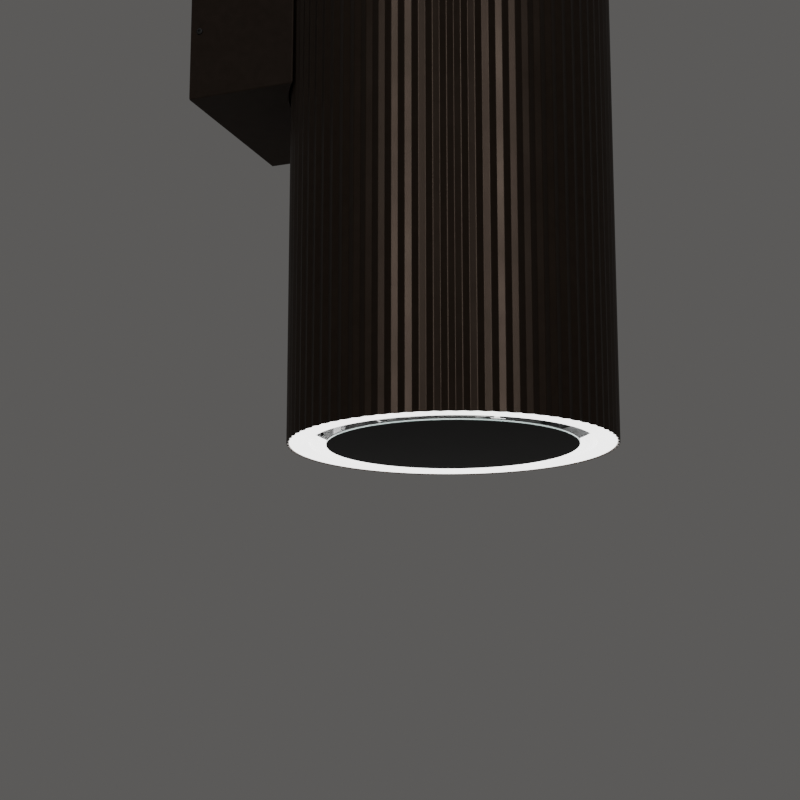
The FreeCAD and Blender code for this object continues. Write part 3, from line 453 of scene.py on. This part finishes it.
ENAMEL = moulded_plastic("enamel", (0.003, 0.003, 0.003), (0.006, 0.006, 0.006), (0.75, 0.9))
ENAMEL_SLOT = 2


def paint_cad_nodes():
    """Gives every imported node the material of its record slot."""
    slot_of = {row["node"]: row["material_slot"] for row in frame["record"]["subparts"]}
    for name, node in frame["nodes"].items():
        node.data.materials.clear()
        node.data.materials.append(MATERIALS[slot_of[name]])


# ---- pleated shell ----

def pleat_outline(inset):
    """Zigzag outline with rounded folds, moved inwards by the inset."""
    half_pitch = RIDGE_R * math.pi / PLEATS
    slope = math.atan2(PLEAT_DEPTH, half_pitch)
    radial = inset / math.cos(slope)
    corners = []
    for half in range(2 * PLEATS):
        angle = FIRST_RIDGE + half * math.pi / PLEATS
        radius = RIDGE_R - radial - (PLEAT_DEPTH if half % 2 else 0)
        corners.append(Vector((radius * math.cos(angle), radius * math.sin(angle))))
    outline = []
    count = len(corners)
    for i, here in enumerate(corners):
        is_ridge = i % 2 == 0
        fold = FOLD_R - inset if is_ridge else FOLD_R + inset - SHEET
        outline += rounded_corner(corners[i - 1], here, corners[(i + 1) % count], fold, FOLD_STEPS)
    return outline


def outline_loop(outline, z):
    """Outline placed about the hood's axis at a height."""
    return [Vector((AXIS.x + p.x, AXIS.y + p.y, z)) for p in outline]


def make_shell():
    """Pleated sheet tube with softened ends and the window behind the arm."""
    outer = pleat_outline(0)
    inner = pleat_outline(SHEET)
    middle = pleat_outline(SHEET / 2)
    count = len(outer)
    soft = 0.25 * MM
    window_low = arm_low.z + WINDOW_MARGIN
    window_high = ARM_TOP - WINDOW_MARGIN
    levels = [FOOT_Z + soft, window_low, window_high, SHELL_TOP - soft]
    loops = [outline_loop(outer, z) for z in levels] + [outline_loop(inner, z) for z in levels]
    loops += [outline_loop(middle, FOOT_Z), outline_loop(middle, SHELL_TOP)]
    out_low, out_sill, out_head, out_top, in_low, in_sill, in_head, in_top = range(8)
    mid_low, mid_top = range(8, 10)
    points = [p for loop in loops for p in loop]

    def in_window(i):
        j = (i + 1) % count
        return all(outer[k].y > 0 and abs(outer[k].x) < WINDOW_HALF for k in (i, j))

    faces = []

    def quad(a, b, i, flip=False):
        j = (i + 1) % count
        face = (a * count + i, a * count + j, b * count + j, b * count + i)
        faces.append(tuple(reversed(face)) if flip else face)

    for i in range(count):
        for level in (out_low, out_sill, out_head):
            if level == out_sill and in_window(i):
                continue
            quad(level, level + 1, i)
            quad(level + in_low, level + in_low + 1, i, flip=True)
        quad(mid_low, out_low, i)
        quad(in_low, mid_low, i)
        quad(out_top, mid_top, i)
        quad(mid_top, in_top, i)
        if in_window(i):
            quad(out_sill, in_sill, i)
            quad(in_head, out_head, i)
            for side, edge in ((-1, i), (1, (i + 1) % count)):
                beyond = (i + side) % count
                if not in_window(beyond):
                    face = tuple(loop * count + edge for loop in (out_sill, out_head, in_head, in_sill))
                    faces.append(face if side < 0 else tuple(reversed(face)))
    piece = new_piece("shell_pleated", points, faces, "shell_paint", 25)
    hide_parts("fluted_shell")


def make_cap():
    """Lid with the shell's outline, softened at its upper edge, and its inner collar."""
    soft = 0.5 * MM
    seam = SHELL_TOP + 0.2 * MM
    outer = pleat_outline(0)
    loops = [
        outline_loop(pleat_outline(0.3 * MM), SHELL_TOP),
        outline_loop(outer, seam),
        outline_loop(outer, CAP_TOP - soft),
        outline_loop(pleat_outline(soft * 0.3), CAP_TOP - soft * 0.3),
        outline_loop(pleat_outline(soft), CAP_TOP),
    ]
    lid = capped(loops)
    collar_low = SHELL_TOP - COLLAR_DEPTH
    collar = lathe(rounded_profile([
        (COLLAR_R, seam, 0), (COLLAR_R, collar_low, 0.4 * MM),
        (COLLAR_R - PLATE, collar_low, 0.4 * MM), (COLLAR_R - PLATE, seam, 0),
    ]), 96)
    points, faces = merge(lid, collar)
    piece = new_piece("cap_lid", points, faces, "shell_paint", 40)
    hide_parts("top_cap")


# ---- light ring and throat ----

def make_diffuser():
    """Opal ring with a rounded inner lip, carried up into the inner wall of the light chamber."""
    lip = 0.8 * MM
    soft = 0.5 * MM
    points, faces = lathe(rounded_profile([
        (THROAT_R, RING_LOW, lip), (THROAT_R, LIGHT_TOP, soft),
        (THROAT_R + LIGHT_WALL, LIGHT_TOP, soft), (THROAT_R + LIGHT_WALL, RING_HIGH, lip),
        (RING_R, RING_HIGH, soft), (RING_R, RING_LOW, soft),
    ], 4), 240)
    piece = new_piece("light_opal_ring", points, faces, "opal", 35)
    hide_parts("light_diffuser", "diffuser_wall")


def make_skirt():
    """Bright throat band with rounded edges."""
    low, high = (corner.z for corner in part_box("inner_skirt"))
    soft = 0.5 * MM
    profile = rounded_profile([
        (THROAT_R, low, soft), (THROAT_R, high, soft),
        (THROAT_R + SKIRT_SHEET, high, soft), (THROAT_R + SKIRT_SHEET, low, soft),
    ], 4)
    points, faces = lathe(profile, 240)
    piece = new_piece("throat_skirt", points, faces, "zinc", 35)
    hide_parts("inner_skirt")


# ---- screws ----

def pan_screw(head_r, head_h, shank_r, shank_l):
    """Pan-head screw along +Z, seated at z = 0, with a hexagonal recess."""
    segments = 36
    angles = even_angles(segments)
    recess_r = head_r * 0.5

    def hexagon(z):
        loop = []
        for a in angles:
            local = (a + math.pi / 6) % (math.pi / 3) - math.pi / 6
            r = recess_r * math.cos(math.pi / 6) / math.cos(local)
            loop.append(Vector((r * math.cos(a), r * math.sin(a), z)))
        return loop

    def ring(r, z):
        return [Vector((r * math.cos(a), r * math.sin(a), z)) for a in angles]

    outline = (
        (shank_r * 0.6, -shank_l), (shank_r, -shank_l + shank_r * 0.5), (shank_r, 0),
        (head_r * 0.97, 0), (head_r, head_h * 0.12), (head_r, head_h * 0.5),
        (head_r * 0.93, head_h * 0.78), (head_r * 0.78, head_h * 0.95), (recess_r * 1.08, head_h),
    )
    loops = [ring(r, z) for r, z in outline] + [hexagon(head_h * 0.97), hexagon(head_h * 0.35)]
    return capped(loops)


def frame_towards(origin, direction):
    """Matrix that puts a part's +Z along a direction at a point."""
    turn = Vector(direction).to_track_quat("Z", "Y").to_matrix().to_4x4()
    return Matrix.Translation(origin) @ turn


def screw_piece(name, size, seats):
    """One piece of equal black screws; a seat is a point and the way the head faces."""
    screws = [moved(pan_screw(*size), frame_towards(place, facing)) for place, facing in seats]
    points, faces = merge(*screws)
    return new_piece(name, points, faces, "black_screw", 40)


def make_screws():
    """All visible screws: in the throat, in the arm's sides and in the cap."""
    clear = 0.1 * MM
    seats = []
    for index in range(6):
        a = math.pi / 2 + index * math.pi / 3
        out = Vector((math.cos(a), math.sin(a), 0))
        place = Vector((AXIS.x, AXIS.y, FOOT_Z + THROAT_SCREW_HEIGHT)) + out * (THROAT_R - clear)
        seats.append((place, -out))
    piece = screw_piece("throat_screws", THROAT_SCREW, seats)
    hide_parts("skirt_screws")

    screw_low, screw_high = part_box("arm_cover_screws")
    y = (screw_low.y + screw_high.y) / 2
    head_r = ARM_SCREW[0]
    seats = []
    for side in (-1, 1):
        for z in (screw_low.z + head_r, screw_high.z - head_r):
            seats.append((Vector((side * ARM_HALF, y, z)), (side, 0, 0)))
    piece = screw_piece("arm_side_screws", ARM_SCREW, seats)
    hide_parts("arm_cover_screws")

    cap_low, cap_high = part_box("cap_screws")
    circle_r = (cap_high.y - cap_low.y) / 2 - CAP_SCREW[0]
    angles = [CAP_SCREW_START + index * math.pi / 3 for index in range(6)]
    seats = [(place, (0, 0, 1)) for place in circle(circle_r, CAP_TOP, angles)]
    piece = screw_piece("cap_lid_screws", CAP_SCREW, seats)
    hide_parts("cap_screws")


# ---- glass panel ----

def make_glass():
    """Black glass disc: flat faces, a polished tinted edge and enamel that wraps over the upper corner."""
    angles = even_angles(240)
    soft = 0.5 * MM
    margin = 2.5 * MM
    enamel = 1.4 * MM
    steps = 4
    profile = [(GLASS_R - margin, FOOT_Z)]
    for step in range(steps + 1):
        a = -math.pi / 2 + math.pi / 2 * step / steps
        profile.append((GLASS_R - soft + soft * math.cos(a), FOOT_Z + soft + soft * math.sin(a)))
    edge_end = len(profile)
    profile.append((GLASS_R, GLASS_TOP - enamel))
    for step in range(steps + 1):
        a = math.pi / 2 * step / steps
        profile.append((GLASS_R - soft + soft * math.cos(a), GLASS_TOP - soft + soft * math.sin(a)))
    profile.append((GLASS_R - margin, GLASS_TOP))
    points, faces = capped([circle(r, z, angles) for r, z in profile])
    slots = []
    for band in range(len(profile) - 1):
        below = GLASS_EDGE_SLOT if band >= 1 else 0
        slots += [below if band < edge_end else ENAMEL_SLOT] * len(angles)
    slots += [0, ENAMEL_SLOT]
    piece = new_piece(
        "panel_glass", points, faces, "black_glass", 20,
        body="glass_door", extra=(GLASS_EDGE, ENAMEL), face_slots=slots,
    )
    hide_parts("glass_panel")


def make_tray():
    """Pressed steel plate on the glass, with a softened rim and a raised stiffening bead; its near-black
    colour is painted shade.
    """
    low, high = (corner.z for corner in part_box("panel_tray"))
    radius = half_width("panel_tray")
    bead_out = 100.0 * MM
    bead_in = 98.5 * MM
    bead_foot = 1.5 * MM
    top = low + SKIRT_SHEET
    soft = 0.4 * MM
    profile = [(radius - soft, low), (radius, low + soft), (radius, top - soft), (radius - soft, top)]
    profile += [(bead_out + bead_foot, top), (bead_out + soft, top + soft), (bead_out, top + 2 * soft)]
    profile += [(bead_out, high - soft), (bead_out - soft, high)]
    profile += [(bead_in + soft, high), (bead_in, high - soft)]
    profile += [(bead_in, top + 2 * soft), (bead_in - soft, top + soft), (bead_in - bead_foot, top)]
    points, faces = capped([circle(r, z, even_angles(160)) for r, z in profile])
    piece = new_piece(
        "panel_plate", points, faces, "black_sheet", 50, body="glass_door",
    )
    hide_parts("panel_tray")


# ---- filter ----

def ribbon(path, width, thickness):
    """Flat wire along a path of points."""
    loops = []
    for i, here in enumerate(path):
        before = path[max(i - 1, 0)]
        after = path[min(i + 1, len(path) - 1)]
        along = (after - before).normalized()
        side = along.cross(Vector((0, 0, 1))).normalized() * (width / 2)
        up = Vector((0, 0, thickness / 2))
        loops.append([here - side - up, here + side - up, here + side + up, here - side + up])
    return capped(loops)


def make_filter_mesh():
    """Two layers of expanded aluminium with a shallow corrugation."""
    low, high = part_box("filter_mesh")
    housing_low, housing_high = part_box("latch_housing")
    cell = 5.0 * MM
    pitch = 2.6 * MM
    wave_height = 0.7 * MM
    wave_length = 14 * MM
    strand_width = 0.55 * MM
    strand_height = 0.35 * MM
    clear = 1 * MM
    parts = []
    for layer, base in enumerate((low.z + 1.2 * MM, low.z + 3.4 * MM)):
        rows = int((high.y - low.y) / pitch)
        shift = cell / 4 * layer
        for row in range(rows):
            y = low.y + pitch * (row + 0.5)
            steps = int((high.x - low.x) / (cell / 2))
            path = []
            for step in range(steps + 1):
                x = low.x + step * cell / 2
                swing = pitch / 2 * (1 if (step + row) % 2 else -1)
                z = base + wave_height * math.sin((x + shift) * 2 * math.pi / wave_length)
                beside = y + swing
                in_row = housing_low.y - clear < beside < housing_high.y + clear
                if not (in_row and x > housing_low.x - clear):
                    path.append(Vector((x, min(max(beside, low.y), high.y), z)))
            if len(path) > 1:
                parts.append(ribbon(path, strand_width, strand_height))
    points, faces = merge(*parts)
    piece = new_piece("filter_expanded_mesh", points, faces, "filter_alloy", 20)
    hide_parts("filter_mesh")


def make_filter_frame():
    """Folded aluminium channel with rounded edges, a slot for the bolt and two flat tabs."""
    mesh_low, mesh_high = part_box("filter_mesh")
    low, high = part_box("filter_frame")
    rail = mesh_low.y - low.y
    x0, x1, y0, y1 = mesh_low.x, mesh_high.x, mesh_low.y, mesh_high.y
    soft = 0.6 * MM
    slot_half = 6 * MM
    slot_top = low.z + 2.3 * MM
    full = rounded_profile([(0, low.z, soft), (0, high.z, soft), (rail, high.z, soft), (rail, low.z, soft)])
    lowered = [(u, min(v, slot_top)) for u, v in full]
    loops = []
    for x, y, sx, sy in ((x1, y1, 1, 1), (x0, y1, -1, 1), (x0, y0, -1, -1), (x1, y0, 1, -1)):
        loops.append([Vector((x + sx * u, y + sy * u, v)) for u, v in full])
    for side, outline in ((-1, full), (-1, lowered), (1, lowered), (1, full)):
        loops.append([Vector((x1 + u, AXIS.y + side * slot_half, v)) for u, v in outline])
    tab_low = CEILING_Z + PLATE + 0.2 * MM
    tab_half = 10 * MM
    overlap = 1 * MM
    tabs = []
    for y in (-60 * MM, 60 * MM):
        corner_low = Vector((low.x, AXIS.y + y - tab_half, tab_low))
        corner_high = Vector((x0 - rail + overlap, AXIS.y + y + tab_half, tab_low + SKIRT_SHEET))
        tabs.append(rounded_box(corner_low, corner_high, 0.5 * MM))
    points, faces = merge(join_loops(loops), *tabs)
    piece = new_piece("filter_channel", points, faces, "filter_alloy", 40)
    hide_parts("filter_frame")


def plate_with_window(outer, window, low, high, radius, soft):
    """Flat plate with rounded corners and edges and a rounded window; both are (x0, x1, y0, y1)."""
    def outline(rectangle, grow, z):
        x0, x1, y0, y1 = rectangle
        edge = rounded_rectangle(x0 - grow, x1 + grow, y0 - grow, y1 + grow, radius + grow)
        return [Vector((x, y, z)) for x, y in edge]

    loops = [outline(outer, -soft, low), outline(outer, 0, low + soft), outline(outer, 0, high - soft)]
    loops += [outline(outer, -soft, high), outline(window, soft, high), outline(window, 0, high - soft)]
    loops += [outline(window, 0, low + soft), outline(window, soft, low)]
    return join_loops(loops)


def make_latch():
    """Grey finger plate with its window, and the ribbed slider with its bolt."""
    low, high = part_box("latch_housing")
    slide_low, slide_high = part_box("filter_latch")
    plate_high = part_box("filter_frame")[0].z
    window = (low.x + 2.5 * MM, slide_low.x + 9.5 * MM, low.y + 5 * MM, high.y - 5 * MM)
    plate = plate_with_window((low.x, high.x, low.y, high.y), window, low.z, plate_high, 2 * MM, 0.5 * MM)
    foot_width = 3 * MM
    feet = []
    for y in (low.y, high.y - foot_width):
        corner_low = Vector((low.x, y, plate_high - 0.5 * MM))
        corner_high = Vector((high.x - 10 * MM, y + foot_width, high.z))
        feet.append(rounded_box(corner_low, corner_high, 0.5 * MM))
    points, faces = merge(plate, *feet)
    piece = new_piece("latch_plate", points, faces, "latch_grey", 40)
    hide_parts("latch_housing")

    tab_end = slide_low.x + 8.9 * MM
    tab_top = slide_high.z - 2.0 * MM
    rib_height = 0.7 * MM
    rib_start = 1.1 * MM
    rib_pitch = 1.9 * MM
    rib_width = 1.0 * MM
    rib_margin = 1.2 * MM
    bolt_half = 5 * MM
    tab_foot = Vector((slide_low.x, slide_low.y, slide_low.z + rib_height))
    tab = rounded_box(tab_foot, Vector((tab_end, slide_high.y, tab_top)), 0.8 * MM)
    ribs = []
    for index in range(4):
        x = slide_low.x + rib_start + rib_pitch * index
        rib_low = Vector((x, slide_low.y + rib_margin, slide_low.z))
        rib_high = Vector((x + rib_width, slide_high.y - rib_margin, slide_low.z + 2 * rib_height))
        ribs.append(rounded_box(rib_low, rib_high, 0.35 * MM))
    middle = (slide_low.y + slide_high.y) / 2
    bolt_low = Vector((slide_low.x, middle - bolt_half, tab_top))
    bolt = rounded_box(bolt_low, Vector((slide_high.x, middle + bolt_half, slide_high.z)), 0.6 * MM)
    points, faces = merge(tab, bolt, *ribs)
    piece = new_piece(
        "latch_slide_tab", points, faces, "latch_grey", 40, body="latch_slider",
    )
    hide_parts("filter_latch")


# ---- arm ----

def arm_end_y(x):
    """Where the arm stops short of the cylinder, at a distance from the middle plane."""
    return AXIS.y + math.sqrt(ARM_NOTCH_R ** 2 - x * x)


def trough_outline(inset):
    """U of the arm's section, from the top of one side round the bottom to the other."""
    half = ARM_HALF - inset
    low = arm_low.z + inset
    radius = ARM_BEND_R - inset
    top = arm_high.z
    bend_steps = 5
    bottom_steps = 24
    outline = [Vector((-half, top)), Vector((-half, (top + low) / 2))]
    for step in range(bend_steps + 1):
        a = math.pi + math.pi / 2 * step / bend_steps
        outline.append(Vector((-half + radius + radius * math.cos(a), low + radius + radius * math.sin(a))))
    for step in range(1, bottom_steps):
        outline.append(Vector((-half + radius + (2 * half - 2 * radius) * step / bottom_steps, low)))
    for step in range(bend_steps + 1):
        a = 1.5 * math.pi + math.pi / 2 * step / bend_steps
        outline.append(Vector((half - radius + radius * math.cos(a), low + radius + radius * math.sin(a))))
    outline += [Vector((half, (top + low) / 2)), Vector((half, top))]
    return outline


def folded_hem(side):
    """Upright strip beside the cylinder where the arm's side is folded back flat on itself."""
    half = ARM_HALF
    start = arm_end_y(half)
    steps = 12
    outline = [(half, start + ARM_SHEET + HEM_LEAD)]
    for step in range(steps + 1):
        a = math.pi * step / steps
        across = half - ARM_SHEET + ARM_SHEET * math.cos(a)
        outline.append((across, start + ARM_SHEET - ARM_SHEET * math.sin(a)))
    inner = half - 2 * ARM_SHEET
    seam = inner + ARM_SHEET - HEM_GAP
    outline += [(inner, start + HEM), (seam, start + HEM), (seam, start + ARM_SHEET + HEM_LEAD)]
    low = arm_low.z + ARM_BEND_R
    order = outline if side > 0 else list(reversed(outline))
    return capped([[Vector((side * x, y, z)) for x, y in order] for z in (low, arm_high.z)])


def make_arm():
    """Folded trough with rounded bends and ends, and flat-folded hems beside the cylinder."""
    soft = 0.35 * MM
    section = list(zip(*(trough_outline(inset) for inset in (0, soft, ARM_SHEET - soft, ARM_SHEET))))
    bend_top = arm_low.z + ARM_BEND_R - 0.01 * MM
    hem_end = arm_end_y(ARM_HALF) + ARM_SHEET + HEM_LEAD
    rows = []
    for o, mo, mi, n in section:
        on_side = o.y > bend_top
        end = hem_end if on_side else arm_end_y(min(abs(o.x), ARM_HALF))
        ease = 0 if on_side else soft
        rows.append([
            Vector((o.x, arm_high.y, o.y)), Vector((o.x, end + ease, o.y)), Vector((mo.x, end, mo.y)),
            Vector((mi.x, end, mi.y)), Vector((n.x, end + ease, n.y)), Vector((n.x, arm_high.y, n.y)),
        ])
    points, faces = merge(capped(rows), folded_hem(-1), folded_hem(1))
    piece = new_piece("arm_trough", points, faces, "arm_paint", 35)
    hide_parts("arm_cover")


def make_arm_lid():
    """Lid of the arm with softened edges and the notch for the cylinder."""
    soft = 0.4 * MM
    half = ARM_HALF
    low = arm_high.z
    columns = 32
    rows = []
    for i in range(columns + 1):
        x = -half + 2 * half * i / columns
        end = arm_end_y(x)
        rows.append([
            Vector((x, arm_high.y, low)), Vector((x, end + soft, low)), Vector((x, end, low + soft)),
            Vector((x, end, ARM_TOP - soft)), Vector((x, end + soft, ARM_TOP)),
            Vector((x, arm_high.y, ARM_TOP)),
        ])
    points, faces = capped(rows)
    piece = new_piece("arm_lid", points, faces, "arm_paint", 35)
    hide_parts("arm_top_plate")


# ---- softened edges on the nodes that stay ----

def soften_cad_edges():
    """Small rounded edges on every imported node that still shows."""
    for node in frame["nodes"].values():
        if node.hide_render:
            continue
        weld = node.modifiers.new("weld", "WELD")
        weld.merge_threshold = 0.01 * MM
        flat = node.modifiers.new("flat", "DECIMATE")
        flat.decimate_type = "DISSOLVE"
        flat.angle_limit = math.radians(1)
        bevel = node.modifiers.new("bevel", "BEVEL")
        bevel.width = 0.25 * MM
        bevel.segments = 2
        bevel.limit_method = "ANGLE"
        bevel.angle_limit = math.radians(45)
        weighted = node.modifiers.new("weighted", "WEIGHTED_NORMAL")
        weighted.keep_sharp = True


# ---- stage, light and camera ----

CAMERA_AZIMUTH = math.radians(198.9)
CAMERA_DISTANCE = 9.166 * RIDGE_R
CAMERA_DROP = 1.792 * RIDGE_R
CAMERA_TURN = math.radians(1.987)
CAMERA_PITCH = math.radians(10.410)
LENS = 69.83
SHIFT_Y = 0.08


FLOOR_RADIUS = 3.0
FLOOR_DROP = 1.15


def make_stage():
    """Pale floor under the hood, which can be seen through from below."""
    material, tree, shader = make_material("floor")
    tone = noise(tree, 3.0, 4.0)
    colour = colour_between(tree, tone, (0.46, 0.46, 0.455), (0.52, 0.52, 0.515))
    tree.links.new(colour, shader.inputs["Base Color"])
    shader.inputs["Roughness"].default_value = 0.8
    geometry = tree.nodes.new("ShaderNodeNewGeometry")
    clear = tree.nodes.new("ShaderNodeBsdfTransparent")
    mixer = tree.nodes.new("ShaderNodeMixShader")
    tree.links.new(geometry.outputs["Backfacing"], mixer.inputs["Fac"])
    tree.links.new(shader.outputs["BSDF"], mixer.inputs[1])
    tree.links.new(clear.outputs["BSDF"], mixer.inputs[2])
    output = tree.nodes["Material Output"]
    tree.links.new(mixer.outputs["Shader"], output.inputs["Surface"])
    mesh = bpy.data.meshes.new("floor")
    rim = circle(FLOOR_RADIUS, FOOT_Z - FLOOR_DROP, even_angles(64))
    mesh.from_pydata([tuple(p) for p in rim], [], [tuple(range(len(rim)))])
    mesh.materials.append(material)
    floor = bpy.data.objects.new("floor", mesh)
    bpy.context.scene.collection.objects.link(floor)


def area_light(name, place, target, size, energy, colour):
    """Rectangular soft light that faces a point."""
    data = bpy.data.lights.new(name, "AREA")
    data.shape = "RECTANGLE"
    data.size, data.size_y = size
    data.energy = energy
    data.color = colour
    light = bpy.data.objects.new(name, data)
    light.location = place
    light.rotation_euler = (Vector(target) - Vector(place)).to_track_quat("-Z", "Y").to_euler()
    bpy.context.scene.collection.objects.link(light)


def make_world():
    """Soft studio surroundings: pale overhead, dim level with the hood, and low down paler again
    except straight beyond the hood from the camera, where they are darkest.
    """
    world = bpy.data.worlds.new("studio")
    world.use_nodes = True
    tree = world.node_tree
    background = tree.nodes["Background"]
    background.inputs["Color"].default_value = (1.0, 0.975, 0.95, 1)
    direction = tree.nodes.new("ShaderNodeTexCoord")
    axes = tree.nodes.new("ShaderNodeSeparateXYZ")
    tree.links.new(direction.outputs["Generated"], axes.inputs["Vector"])
    side = tree.nodes.new("ShaderNodeVectorMath")
    side.operation = "DOT_PRODUCT"
    side.inputs[1].default_value = (math.cos(CAMERA_AZIMUTH), math.sin(CAMERA_AZIMUTH), 0)
    tree.links.new(direction.outputs["Generated"], side.inputs[0])
    beyond, below, dim, overhead = 0.04, 0.30, 0.11, 0.55
    low_down = remap(tree, side.outputs["Value"], beyond, below, -0.88, -0.70, "SMOOTHSTEP")
    middle = remap(tree, axes.outputs["Z"], low_down, dim, -0.22, -0.05, "SMOOTHSTEP")
    level = remap(tree, axes.outputs["Z"], middle, overhead, 0.62, 0.88, "SMOOTHSTEP")
    tree.links.new(level, background.inputs["Strength"])
    bpy.context.scene.world = world


# name, turn from the camera in degrees, distance, lift above the aim, size, and energy
LIGHTS = (
    ("window", 0, 3.6, 1.1, (0.9, 2.6), 52),
    ("side_fill", 130, 3.0, -1.1, (1.6, 1.0), 10),
    ("back_fill", -130, 3.0, -1.1, (1.6, 1.0), 10),
)
LIGHT_COLOUR = (1.0, 0.97, 0.94)


def make_lights():
    """A tall window-like light behind the camera, and two dim ones low down beyond the hood."""
    middle = Vector((AXIS.x, AXIS.y, FOOT_Z + 0.3))
    target = middle + Vector((0, 0, 0.2))
    for name, turn, distance, lift, size, energy in LIGHTS:
        a = CAMERA_AZIMUTH + math.radians(turn)
        place = middle + Vector((math.cos(a), math.sin(a), 0)) * distance + Vector((0, 0, lift))
        area_light(name, place, target, size, energy, LIGHT_COLOUR)


def make_camera():
    """Camera below and to the left front of the hood, looking slightly up."""
    data = bpy.data.cameras.new("camera")
    data.sensor_width = 36.0
    data.lens = LENS
    data.shift_y = SHIFT_Y
    camera = bpy.data.objects.new("camera", data)
    out = Vector((math.cos(CAMERA_AZIMUTH), math.sin(CAMERA_AZIMUTH), 0))
    camera.location = Vector((AXIS.x, AXIS.y, FOOT_Z - CAMERA_DROP)) + out * CAMERA_DISTANCE
    heading = CAMERA_AZIMUTH + math.pi + CAMERA_TURN
    level = math.cos(CAMERA_PITCH)
    look = Vector((math.cos(heading) * level, math.sin(heading) * level, math.sin(CAMERA_PITCH)))
    camera.rotation_euler = look.to_track_quat("-Z", "Y").to_euler()
    bpy.context.scene.collection.objects.link(camera)
    bpy.context.scene.camera = camera


paint_cad_nodes()
make_shell()
make_cap()
make_diffuser()
make_skirt()
make_screws()
make_glass()
make_tray()
make_filter_mesh()
make_filter_frame()
make_latch()
make_arm()
make_arm_lid()
soften_cad_edges()
make_stage()
make_world()
make_lights()
make_camera()
